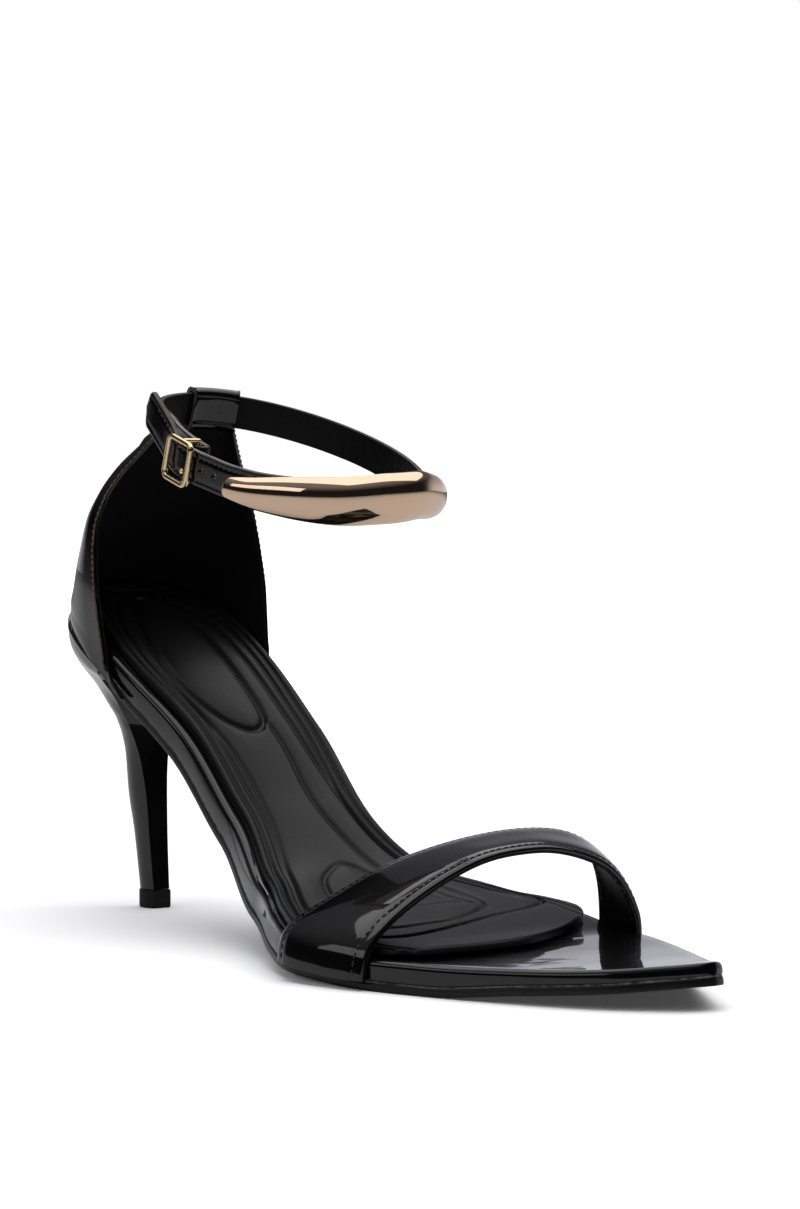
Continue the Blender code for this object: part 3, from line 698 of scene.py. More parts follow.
@dataclass(frozen=True)
class PlatedMetal:
    """Polished plated brass: a clean mirror tinted by its plating, with the very
    slight waviness and haze that hand polishing leaves."""

    name: str
    colour: str
    roughness: float = 0.05
    wave: float = 9.0 * MM
    wave_depth: float = 0.01 * MM
    haze: float = 3.0 * MM          # size of the parts that are polished less

    def make(self) -> bpy.types.Material:
        """Builds the material.

        Returns:
            The material.
        """
        made, tree, shader, where = shaded(
            self.name, Base_Color=linear(self.colour), Metallic=1.0)
        wave = add_node(tree, "ShaderNodeTexNoise", {}, {
            "Vector": where, "Scale": 1 / self.wave, "Detail": 1.0})
        haze = add_node(tree, "ShaderNodeTexNoise", {}, {
            "Vector": where, "Scale": 1 / self.haze, "Detail": 4.0})
        rough = add_node(tree, "ShaderNodeMapRange", {}, {
            "Value": haze.outputs["Fac"], "To Min": 0.6 * self.roughness,
            "To Max": 1.5 * self.roughness})
        tree.links.new(rough.outputs["Result"], shader.inputs["Roughness"])
        bumped(tree, shader, wave.outputs["Fac"], self.wave_depth)
        return made


@dataclass(frozen=True)
class BondedThread:
    """Bonded polyester thread: twisted strands under a thin wax that glints."""

    name: str
    colour: str
    roughness: float = 0.32
    twist: float = 0.35 * MM
    twist_depth: float = 0.03 * MM

    def make(self) -> bpy.types.Material:
        """Builds the material.

        Returns:
            The material.
        """
        made, tree, shader, where = shaded(
            self.name, Base_Color=linear(self.colour), Roughness=self.roughness,
            Sheen_Weight=0.2)
        twist = add_node(tree, "ShaderNodeTexWave", {"bands_direction": "DIAGONAL"}, {
            "Vector": where, "Scale": 0.3 / self.twist, "Distortion": 0.4})
        bumped(tree, shader, twist.outputs["Fac"], self.twist_depth)
        return made


@dataclass(frozen=True)
class EdgePaint:
    """Edge dye on cut leather: a broken, uneven line that shows the pale fibre between darker
    patches. On the sole's seam bead the pale patches are a painted highlight instead."""

    name: str
    colour: str
    dark: str
    patch: float = 2.0 * MM
    cover: float = 0.5              # share of the edge that stays dark
    fade: float = 0.12              # how softly a patch ends
    tooth_depth: float = 0.05 * MM

    def make(self) -> bpy.types.Material:
        """Builds the material.

        Returns:
            The material.
        """
        made, tree, shader, where = shaded(self.name, Roughness=0.5)
        patch = add_node(tree, "ShaderNodeTexNoise", {}, {
            "Vector": where, "Scale": 1 / self.patch, "Detail": 4.0, "Roughness": 0.65})
        edge = add_node(tree, "ShaderNodeMapRange", {}, {
            "Value": patch.outputs["Fac"], "From Min": self.cover - self.fade,
            "From Max": self.cover + self.fade})
        tone = add_node(tree, "ShaderNodeMix", {"data_type": "RGBA"}, {
            "Factor": edge.outputs["Result"], 6: linear(self.dark), 7: linear(self.colour)})
        tree.links.new(tone.outputs[2], shader.inputs["Base Color"])
        bumped(tree, shader, patch.outputs["Fac"], self.tooth_depth)
        return made


class Finishes:
    """Every finish of the shoe, made once."""

    def __init__(self) -> None:
        """Makes the materials."""
        self.patent = PatentLeather().make()
        self.sock = GrainLeather().make()
        self.suede = Suede().make()
        self.lining = StrapLining().make()
        self.outsole = MouldedRubber("outsole_rubber", "#0b0b0c", 0.30).make()
        self.lift = MouldedRubber("lift_rubber", "#0a0a0a", 0.55).make()
        self.rose = PlatedMetal("rose_gold_plate", "#dcbfa6", 0.06).make()
        self.pale = PlatedMetal("pale_gold_plate", "#ecd0a4", 0.10).make()
        self.thread = BondedThread("black_thread", "#17171a").make()
        self.tan_thread = BondedThread("tan_thread", "#6a4e3c").make()
        self.tan_edge = EdgePaint("tan_edge", "#7a5c49", "#15100e", cover=0.47).make()
        self.grey_edge = EdgePaint("grey_edge", "#55534e", "#131313", cover=0.48).make()
        # seam bead: dark patches are its own black, pale grey patches are a painted highlight
        # along the groove
        self.seam_dark_and_highlight = EdgePaint("sole_seam_dark_and_highlight", "#70736f", "#141415", 3.0 * MM, 0.50).make()


# Sole


@dataclass
class Last:
    """Line of the board's top, its outline and its offsets."""

    length: float = 243.3 * MM      # seat's back end to toe tip, along the floor
    seat_reach: float = 18.3 * MM   # seat's back end behind the heel tip's centre
    ball_width: float = 84.0 * MM
    seat_rise: float = 76.9 * MM
    toe_rise: float = 3.7 * MM
    seat_round: float = 32.0 * MM   # length of the seat's round end
    outsole: float = 2.0 * MM
    board_thick: float = 5.0 * MM
    stations: int = 600
    # share of the length, rise as a share of seat_rise and of toe_rise, half width
    # and medial swing as shares of ball_width, board as a share of board_thick
    table: tuple = (
        # along  seat    toe    half    swing   board
        (0.000, 1.000, 0.000, 0.278, 0.000, 1.00),
        (0.031, 0.957, 0.000, 0.278, 0.000, 1.00),
        (0.080, 0.897, 0.000, 0.278, 0.000, 1.06),
        (0.162, 0.761, 0.000, 0.277, 0.000, 1.12),
        (0.264, 0.556, 0.000, 0.251, 0.008, 1.25),
        (0.366, 0.317, 0.000, 0.245, -0.017, 1.28),
        (0.468, 0.131, 0.000, 0.310, -0.040, 1.30),
        (0.550, 0.074, 0.000, 0.416, -0.041, 1.32),
        (0.626, 0.036, 0.000, 0.498, -0.020, 1.26),
        (0.708, 0.000, 0.000, 0.479, 0.012, 1.00),
        (0.776, 0.000, 0.000, 0.423, 0.023, 1.00),
        (0.869, 0.000, 0.170, 0.303, 0.029, 0.72),
        (0.937, 0.000, 0.450, 0.188, 0.040, 0.63),
        (0.978, 0.000, 0.780, 0.092, 0.071, 0.60),
        (0.993, 0.000, 0.930, 0.050, 0.084, 0.60),
        (1.000, 0.000, 1.000, 0.018, 0.089, 0.60),
    )

    def __post_init__(self) -> None:
        """Works out the lines at even stations."""
        share = np.linspace(0.0, 1.0, self.stations)
        seat, toe, half, swing, board = read_table(self.table, share)
        self.x = share * self.length - self.seat_reach
        self.z = (self.outsole + GAP + self.board_thick + self.seat_rise * seat
                  + self.toe_rise * toe)
        slope = np.gradient(self.z, self.x)
        grade = np.sqrt(1 + slope * slope)
        self.normal = np.stack([-slope / grade, 1 / grade])
        self.half = self.ball_width * half
        self.swing = self.ball_width * swing
        self.board = self.board_thick * board

    @property
    def toe(self) -> float:
        """Station of the toe tip."""
        return self.length - self.seat_reach

    def half_at(self, x: Array) -> Array:
        """Half width at station x: the table's, times the seat's elliptical end."""
        inside = np.clip((self.seat_round - self.seat_reach - x) / self.seat_round, 0.0, 1.0)
        return np.interp(x, self.x, self.half) * np.sqrt(1 - inside ** 2)

    def swing_at(self, x: Array) -> Array:
        """Middle of the width at station x."""
        return np.interp(x, self.x, self.swing)

    def board_at(self, x: Array) -> Array:
        """Thickness of the board at station x."""
        return np.interp(x, self.x, self.board)

    def offset(self, x: Array, depth: Array) -> tuple[Array, Array]:
        """Place and height that lie depth under the board's top line at station x."""
        nx, nz = (np.interp(x, self.x, n) for n in self.normal)
        return x - nx * depth, np.interp(x, self.x, self.z) - nz * depth

    def underside(self, x: Array) -> Array:
        """Height of the board's underside at a true place x."""
        return np.interp(x, self.x - self.normal[0] * self.board,
                         self.z - self.normal[1] * self.board)


@dataclass
class SoleUnit:
    """Patent-wrapped board, the thin outsole under it and the bead between, its pale patches a
    painted highlight.
    """

    last: Last
    finishes: Finishes
    wrap_round: float = 1.5 * MM    # round of the wrap's upper edge
    low_round: float = 0.7 * MM
    nose: float = 1.6 * MM          # round of the toe tip in plan
    tip: float = 0.02 * MM          # half width that is left at the very ends
    outsole_start: float = 18.5 * MM
    outsole_rounds: tuple = (0.5 * MM, 0.4 * MM)     # upper edge, lower edge
    seam_thick: float = 0.5 * MM
    seam_inset: float = 0.52 * MM
    seam_stop: float = 0.4 * MM     # the bead ends this far behind the toe tip

    def layer(self, name: str, start: float, top: Measure, thick: Measure, upper: float,
              lower: float, material: Any) -> bpy.types.Object:
        """One layer of the sole with rounded edges.

        A section is a quarter circle at the lower edge, a straight side and a
        quarter circle at the upper edge, mirrored about the middle line.

        Args:
            name: The piece's name.
            start: Station of its back end.
            top: Function of the station that gives the depth of its upper face.
            thick: Function of the station that gives its thickness.
            upper: Radius of the upper edge.
            lower: Radius of the lower edge.
            material: Its material.

        Returns:
            The new object.
        """
        last = self.last
        x = spread(start, last.toe, 300, 0.8)[:, None]
        ahead = np.clip((x - last.toe + self.nose) / self.nose, 0.0, 0.9995)
        half = np.maximum(last.half_at(x) * np.sqrt(1 - ahead ** 2), self.tip)
        high = np.minimum(upper, np.minimum(0.45 * half, 0.5 * thick(x)))
        low = np.minimum(lower, np.minimum(0.45 * half, 0.4 * thick(x)))
        turn = np.linspace(0.0, math.pi / 2, 7)[None, :]
        inset = np.concatenate([low * (1 - np.sin(turn)), high * (1 - np.cos(turn))], axis=1)
        depth = np.concatenate([thick(x) - low * (1 - np.cos(turn)), high * (1 - np.sin(turn))],
                               axis=1)
        middle = last.swing_at(x)
        across = np.linspace(-1, 1, 22)[None, 1:-1]
        y = np.concatenate([middle - half + inset, middle + (half - high) * across,
                            (middle + half - inset)[:, ::-1]], axis=1)
        flat = np.zeros((len(x), across.shape[1]))
        deep = np.concatenate([depth, flat, depth[:, ::-1]], axis=1) + top(x)
        px, pz = last.offset(np.broadcast_to(x, deep.shape), deep)
        return loft(name, np.stack([px, y, pz], axis=-1), material)

    def seam_bead(self) -> bpy.types.Object:
        """Bead along the groove between board and outsole, round the toe; its pale grey patches
        are a painted highlight of the seam's edge.

        Returns:
            The new object.
        """
        last = self.last
        x = spread(self.outsole_start, last.toe - self.seam_stop, 260, 0.7)
        px, pz = last.offset(x, last.board_at(x) + GAP / 2)
        reach = np.maximum(last.half_at(x) - self.seam_inset, self.seam_thick / 2)
        near = np.stack([px, last.swing_at(x) - reach, pz], axis=-1)
        far = np.stack([px, last.swing_at(x) + reach, pz], axis=-1)[::-1]
        rings = tube_rings(np.concatenate([near, far]), self.seam_thick / 2,
                           np.array([0.0, 0.0, 1.0]), 8)
        # its finish paints the seam's highlight as pale grey patches
        return loft("sole_seam_bead", rings, self.finishes.seam_dark_and_highlight)

    def dress(self) -> None:
        """Builds and places the sole's layers."""
        last, finishes = self.last, self.finishes
        board = self.layer("platform_wrap", -last.seat_reach + self.tip, np.zeros_like,
                           last.board_at, self.wrap_round, self.low_round, finishes.patent)
        place(board, Slot.PATENT, "platform")
        sole = self.layer("thin_outsole", self.outsole_start, lambda x: last.board_at(x) + GAP,
                          lambda x: np.full_like(x, last.outsole), *self.outsole_rounds,
                          finishes.outsole)
        place(sole, Slot.OUTSOLE, "outsole")
        place(self.seam_bead(), Slot.OUTSOLE)


@dataclass(frozen=True)
class Channel:
    """A pressed line of the sock: its points are (millimetres along, share across)."""

    points: tuple
    closed: bool = False
    depth: float = 0.55 * MM
    width: float = 0.65 * MM
    puff: float = 0.0               # rise of the leather inside a closed line


# Pressed lines of the sock: millimetres ahead of the heel tip's centre, and place across from
# lateral (-1) to medial (1)
SOCK_CHANNELS = (
    # raised pad under the heel
    Channel(((-6, -0.15), (2, -0.42), (14, -0.56), (27, -0.63), (37, -0.60), (44, -0.44),
             (48, -0.16), (47, 0.08), (43, 0.22), (33, 0.28), (20, 0.30), (8, 0.26), (-2, 0.10)),
            closed=True, depth=0.75 * MM, width=0.8 * MM, puff=0.55 * MM),
    # lateral side of the arch panel
    Channel(((-4, -0.62), (10, -0.76), (30, -0.78), (44, -0.70), (54, -0.61), (64, -0.58),
             (76, -0.63), (98, -0.75), (118, -0.82), (134, -0.84), (141, -0.74))),
    # medial side of the arch panel
    Channel(((-6, 0.30), (4, 0.52), (22, 0.58), (42, 0.57), (54, 0.58), (68, 0.68), (85, 0.74),
             (100, 0.79), (114, 0.84), (123, 0.90))),
    # long line that flows to the ball
    Channel(((47, 0.22), (56, 0.24), (66, 0.22), (75, 0.25), (84, 0.33), (93, 0.38),
             (104, 0.40), (115, 0.40), (125, 0.42))),
    # petal behind the ball
    Channel(((122, -0.52), (110, -0.50), (100, -0.40), (94, -0.18), (92, 0.00), (95, 0.14),
             (104, 0.24), (114, 0.28), (120, 0.29)), depth=0.5 * MM),
    # cross line under the toe strap, ending in the inner pad's point
    Channel(((126, -0.58), (125, -0.31), (124, 0.04), (123, 0.29), (125, 0.42))),
    # inner pad of the forefoot
    Channel(((110, 0.56), (120, 0.54), (129, 0.40), (136, 0.07), (138, -0.17), (139, -0.52),
             (135, -0.70), (126, -0.76))),
    # border line of the forefoot
    Channel(((112, 0.93), (122, 0.95), (129, 0.86), (133, 0.64), (136, 0.35), (140, 0.04),
             (144, -0.30), (146, -0.60), (143, -0.80), (132, -0.91)), depth=0.65 * MM),
)


@dataclass
class PaddedSock:
    """Padded leather sock with pressed channels and nested pads."""

    last: Last
    finishes: Finishes
    thick: float = 1.8 * MM
    inset: float = 2.6 * MM
    reach: float = 164.0 * MM       # foremost point of its front edge
    edge: float = 0.9 * MM
    crown: float = 0.45 * MM        # how far the padding stands up between lines
    rows: int = 430
    columns: int = 171
    crown_reach: float = 2.6 * MM   # distance from a line that its rise takes
    puff_reach: float = 3.0 * MM    # the same inside a closed line
    border_lines: tuple = (2.6 * MM, 5.2 * MM)   # channels that follow the long edges
    border_depth: float = 0.5 * MM
    border_width: float = 0.6 * MM
    back_gap: float = 0.4 * MM      # how much further its back end is set in
    least: float = 0.3 * MM         # thickness that is left under the deepest line
    edge_share: float = 0.35        # thickness at the very edge, as a share
    # place across, and the front edge's set back as a share of ball width
    front: tuple = (
        (-1.00, 0.150),
        (-0.92, 0.050),
        (-0.78, 0.008),
        (-0.40, 0.000),
        (0.00, 0.028),
        (0.45, 0.125),
        (0.80, 0.235),
        (0.95, 0.300),
        (1.00, 0.370),
    )

    def relief(self, x: Array, y: Array, rim: Array) -> Array:
        """Height added to the sock: crown between lines, minus the pressed lines.

        Each line takes depth exp(-(d/width) squared) at the distance d from it, and
        the padding gives crown (1 - exp(-d/crown_reach)) for the nearest line. Inside
        a closed line it gives puff (1 - exp(-d/puff_reach)) as well.

        Args:
            x: Stations of the grid.
            y: Places across of the grid, in metres.
            rim: Distance of each point from the sock's long edges.

        Returns:
            The heights.
        """
        last = self.last
        nearest = np.full(x.shape, 1.0)
        pressed = np.zeros(x.shape)
        for channel in SOCK_CHANNELS:
            path = curve_through(np.array(channel.points), 110, channel.closed)
            along = path[:, 0] * MM
            side = last.swing_at(along) + (last.half_at(along) - self.inset) * path[:, 1]
            away = np.full(x.shape, 1.0)
            inside = np.zeros(x.shape, bool)
            spans = len(along) if channel.closed else len(along) - 1
            for k in range(spans):
                j = (k + 1) % len(along)
                run, climb = along[j] - along[k], side[j] - side[k]
                span = max(run * run + climb * climb, 1e-12)
                t = np.clip(((x - along[k]) * run + (y - side[k]) * climb) / span, 0.0, 1.0)
                away = np.minimum(away, (x - along[k] - t * run) ** 2
                                  + (y - side[k] - t * climb) ** 2)
                crosses = (side[k] > y) != (side[j] > y)
                rise = np.where(side[j] == side[k], 1.0, side[j] - side[k])
                inside ^= crosses & (x < along[k] + (along[j] - along[k]) * (y - side[k]) / rise)
            away = np.sqrt(away)
            nearest = np.minimum(nearest, away)
            pressed += channel.depth * np.exp(-(away / channel.width) ** 2)
            if channel.closed:
                rise = channel.puff * (1 - np.exp(-away / self.puff_reach))
                pressed -= np.where(inside, rise, 0.0)
        for line in self.border_lines:
            away = np.abs(rim - line)
            nearest = np.minimum(nearest, away)
            pressed += self.border_depth * np.exp(-(away / self.border_width) ** 2)
        return self.crown * (1 - np.exp(-nearest / self.crown_reach)) - pressed

    def dress(self) -> None:
        """Builds and places the sock."""
        last = self.last
        across = np.sin(np.linspace(-0.5, 0.5, self.columns) * math.pi * 0.94)
        across = across / across[-1]
        front = self.reach - last.ball_width * read_table(self.front, across)[0]
        start = -last.seat_reach + self.inset + self.back_gap
        along = spread(0.0, 1.0, self.rows, 0.35)
        x = start + along[:, None] * (front - start)[None, :]
        half = np.maximum(last.half_at(x) - self.inset, 0.5 * MM)
        y = last.swing_at(x) + half * across[None, :]
        rim = np.minimum((1 - np.abs(across))[None, :] * half, (x - start) * 1.2)
        ends = np.minimum(rim, (front[None, :] - x))
        fold = np.clip(ends / self.edge, 0.0, 1.0)
        domed = np.sqrt(1 - (1 - fold) ** 2)
        body = self.thick * (self.edge_share + (1 - self.edge_share) * domed)
        lift = GAP + np.maximum(body + self.relief(x, y, rim) * fold, self.least)
        top, low = (np.stack([px, y, pz], axis=-1)
                    for px, pz in (last.offset(x, -lift), last.offset(x, -GAP)))
        count = top.shape[0] * top.shape[1]
        points = np.concatenate([top.reshape(-1, 3), low[:, 0], low[:, -1]])
        left = np.arange(self.rows) * self.columns
        right = left + self.columns - 1
        low_left = count + np.arange(self.rows)
        low_right = low_left + self.rows
        strips = [np.stack([a[:-1], a[1:], b[1:], b[:-1]], axis=-1)
                  for a, b in ((left, low_left), (low_left, low_right), (low_right, right))]
        faces = grid_faces(self.rows, self.columns).tolist()
        for strip in strips:
            faces += strip.tolist()
        for row in (0, self.rows - 1):
            edge = (left[row] + np.arange(self.columns)).tolist()
            faces.append(edge + [int(low_right[row]), int(low_left[row])])
        sock = add_piece("padded_sock", points, faces, [self.finishes.sock], sharp=60.0)
        place(sock, Slot.SOCK, "sock")


# Heel


@dataclass
class StilettoHeel:
    """Patent-covered stiletto with a flat breast, and its rubber top lift."""

    last: Last
    finishes: Finishes
    wall: float = 1.6 * MM
    lift_thick: float = 4.7 * MM
    lift_step: float = 0.25 * MM
    breast_reach: float = 12.0 * MM
    squareness: float = 2.1
    seat_flare: float = 2.6 * MM    # meets the counter's raked foot behind the seat
    seat_centre: float = 2.0 * MM   # widest place of the seat's section, behind the breast
    seat_corner: float = 0.4 * MM   # how much narrower the breast is there
    levels: int = 170
    # the section at the floor: back, centre, front, half width, breast
    tip: tuple = (5.3 * MM, -1.5 * MM, 2.4 * MM, 3.4 * MM, 2.4 * MM)
    # height share of the lift, and share of lift_step that it has grown by
    lift_table: tuple = ((0.0, 0.2), (0.03, 0.55), (0.07, 0.85), (0.12, 1.0), (0.94, 1.0),
                         (1.0, 0.7))
    # height share, then how far back, centre, front, half and breast have gone
    # from the tip's size to the seat's
    table: tuple = (
        # up     back   centre  front  half   breast
        (0.000, 0.000, 0.000, 0.000, 0.000, 0.000),
        (0.210, 0.154, -0.155, -0.146, 0.018, 0.018),
        (0.365, 0.296, -0.273, -0.229, 0.050, 0.035),
        (0.505, 0.346, -0.318, -0.354, 0.074, 0.079),
        (0.575, 0.401, -0.318, -0.417, 0.115, 0.132),
        (0.645, 0.463, -0.318, -0.458, 0.203, 0.210),
        (0.700, 0.543, -0.300, -0.406, 0.318, 0.311),
        (0.775, 0.667, -0.227, -0.198, 0.484, 0.474),
        (0.875, 0.840, 0.045, 0.270, 0.774, 0.741),
        (0.950, 0.957, 0.590, 0.740, 0.954, 0.930),
        (1.000, 1.000, 0.850, 1.000, 1.000, 1.000),
    )

    def section(self, sizes: Array) -> Array:
        """D-shaped sections: a superellipse behind, cosine sides and a flat breast.

        Args:
            sizes: Rows of back, centre, front, half width and breast.

        Returns:
            Points as (rows, points round, 2).
        """
        back, centre, front, half, breast = (sizes[:, k:k + 1] for k in range(5))
        turn = np.linspace(-math.pi / 2, math.pi / 2, 81)[None, :]
        power = 2 / self.squareness
        round_x = centre - (centre + back) * np.abs(np.cos(turn)) ** power
        round_y = half * signed_power(np.sin(turn), power)
        along = np.linspace(0.0, 1.0, 15)[None, 1:]
        side_x = centre + (front - centre) * along
        side_y = breast + (half - breast) * np.cos(along * math.pi / 2)
        face_y = breast * np.linspace(1.0, -1.0, 11)[None, 1:-1]
        face_x = np.broadcast_to(front, face_y.shape)
        x = np.concatenate([round_x, side_x, face_x, side_x[:, ::-1]], axis=1)
        y = np.concatenate([round_y, side_y, face_y, -side_y[:, ::-1]], axis=1)
        return np.stack([x, y], axis=-1)

    def dress(self) -> None:
        """Builds and places the heel and its lift."""
        last = self.last
        reach = GAP + self.wall
        half = float(last.half_at(np.array(self.breast_reach))) + reach
        seat = np.array([last.seat_reach + reach + self.seat_flare,
                         self.breast_reach - self.seat_centre, self.breast_reach, half,
                         half - self.seat_corner])
        tip = np.array(self.tip)
        up = np.linspace(0.0, 1.0, self.levels)
        body = self.section(tip + np.stack(read_table(self.table, up), axis=-1) * (seat - tip))
        low = self.lift_thick + GAP
        high = last.underside(body[..., 0]) - 0.2 * GAP
        body_z = low + up[:, None] * (high - low)
        up, grown = (column[:, None] for column in np.array(self.lift_table).T)
        grow = np.array([1.0, 0.0, 1.0, 1.0, 1.0]) * self.lift_step
        lift = self.section(tip + grown * grow)
        lift_z = np.broadcast_to(up * self.lift_thick, lift.shape[:2])
        for name, flat, z, finish, slot, node in (
                ("stiletto_heel", body, body_z, self.finishes.patent, Slot.PATENT, "heel"),
                ("rubber_top_lift", lift, lift_z, self.finishes.lift, Slot.LIFT, "top_lift")):
            rings = np.concatenate([flat, z[..., None]], axis=-1)
            place(loft(name, rings, finish, sharp=24.0), slot, node)


# Upper


@dataclass
class Counter:
    """Closed back of the upper: patent outside, suede inside, stitched rims."""

    last: Last
    finishes: Finishes
    wall: float = 1.6 * MM
    edge_bulge: float = 0.45
    wing_reach: float = 26.0 * MM   # foremost point of the wings
    lean_wall: float = 1.2          # the back's wall along the floor, against its thickness
    rise: float = 65.0 * MM
    seat_rake: float = 2.4 * MM     # how far the foot runs back under the seat
    lean: float = 34.8 * MM         # how far forward the back leans up to its tab
    tab_shift: float = 2.9 * MM
    stitch: Stitch = Stitch(1.6 * MM, 1.2 * MM, 0.4 * MM)
    seam_start: int = 14            # first level of the rim's stitches
    # rim as a share of wing_reach, rim's lift as a share of rise, half width as a
    # share of the seat's, lean share, back's lift share, tab's shift share
    table: tuple = (
        # rim    rim up  half    lean   back up  shift
        (1.000, 0.000, 1.000, 0.000, 0.000, 0.00),
        (0.750, 0.019, 1.000, 0.000, 0.025, 0.00),
        (0.600, 0.081, 1.004, 0.000, 0.080, 0.00),
        (0.538, 0.196, 1.022, 0.115, 0.159, 0.00),
        (0.488, 0.309, 1.036, 0.261, 0.277, 0.00),
        (0.435, 0.421, 1.018, 0.405, 0.404, 0.00),
        (0.400, 0.537, 0.975, 0.543, 0.532, 0.00),
        (0.408, 0.647, 0.878, 0.672, 0.660, 0.10),
        (0.454, 0.750, 0.750, 0.787, 0.780, 0.28),
        (0.546, 0.863, 0.580, 0.902, 0.890, 0.55),
        (0.654, 1.000, 0.377, 1.000, 0.985, 1.00),
    )

    def face(self, grow: float, levels: int = 110, bend: int = 96) -> Array:
        """Face of the counter that lies grow outside its inner one.

        Each level is an ellipse round the back that runs on in straight wings.

        Args:
            grow: Distance outside the inner face.
            levels: Rows from the seat to the tab.
            bend: Points round the back.

        Returns:
            Points as (levels, points from rim to rim, 3).
        """
        last = self.last
        rim, rim_up, half, lean, back_up, shift = even_table(self.table, levels)
        round_end = last.seat_round - last.seat_reach
        width = (float(last.half_at(np.array(round_end))) + GAP) * half + grow
        front = self.wing_reach * rim
        back = -last.seat_reach - 2 * GAP - grow * self.lean_wall + self.lean * lean
        reach = front - back
        centre = np.maximum(np.minimum(round_end, front - 0.2 * reach), front - 0.45 * reach)
        turn = np.linspace(-math.pi / 2, math.pi / 2, bend)[None, :]
        curve_x = centre - (centre - back) * np.cos(turn)
        straight = np.linspace(1.0, 0.0, 16)[None, :-1]
        wing_x = centre + (front - centre) * straight
        side = np.broadcast_to(width, wing_x.shape)
        x = np.concatenate([wing_x, curve_x, wing_x[:, ::-1]], axis=1)
        y = np.concatenate([-side, width * np.sin(turn), side], axis=1)
        lift = back_up + (rim_up - back_up) * (x - back) / reach
        x = x - self.seat_rake * np.clip(1 - self.rise * lift / last.board_at(x), 0.0, 1.0)
        z = last.underside(x) + self.rise * lift
        return np.stack([x, y + self.tab_shift * shift, z], axis=-1)

    def dress(self) -> None:
        """Builds and places the wall and its rim stitches."""
        finishes = self.finishes
        outer, inner = self.face(self.wall), self.face(0.0)
        wall = sheet_wall("counter_wall", outer, inner, self.edge_bulge,
                          [finishes.patent, finishes.suede, finishes.tan_edge],
                          (2, 0, 0, 1, 1, 1))
        place(wall, Slot.PATENT, "counter")
        normal = grid_normals(outer)
        if np.mean(np.sum(normal * (outer - outer.mean(axis=(0, 1))), axis=-1)) < 0:
            normal = -normal
        for name, column in (("lateral", 1), ("medial", outer.shape[1] - 2)):
            sew(f"counter_{name}_stitches", outer[self.seam_start:, column],
                normal[self.seam_start:, column], self.stitch, finishes.tan_thread)


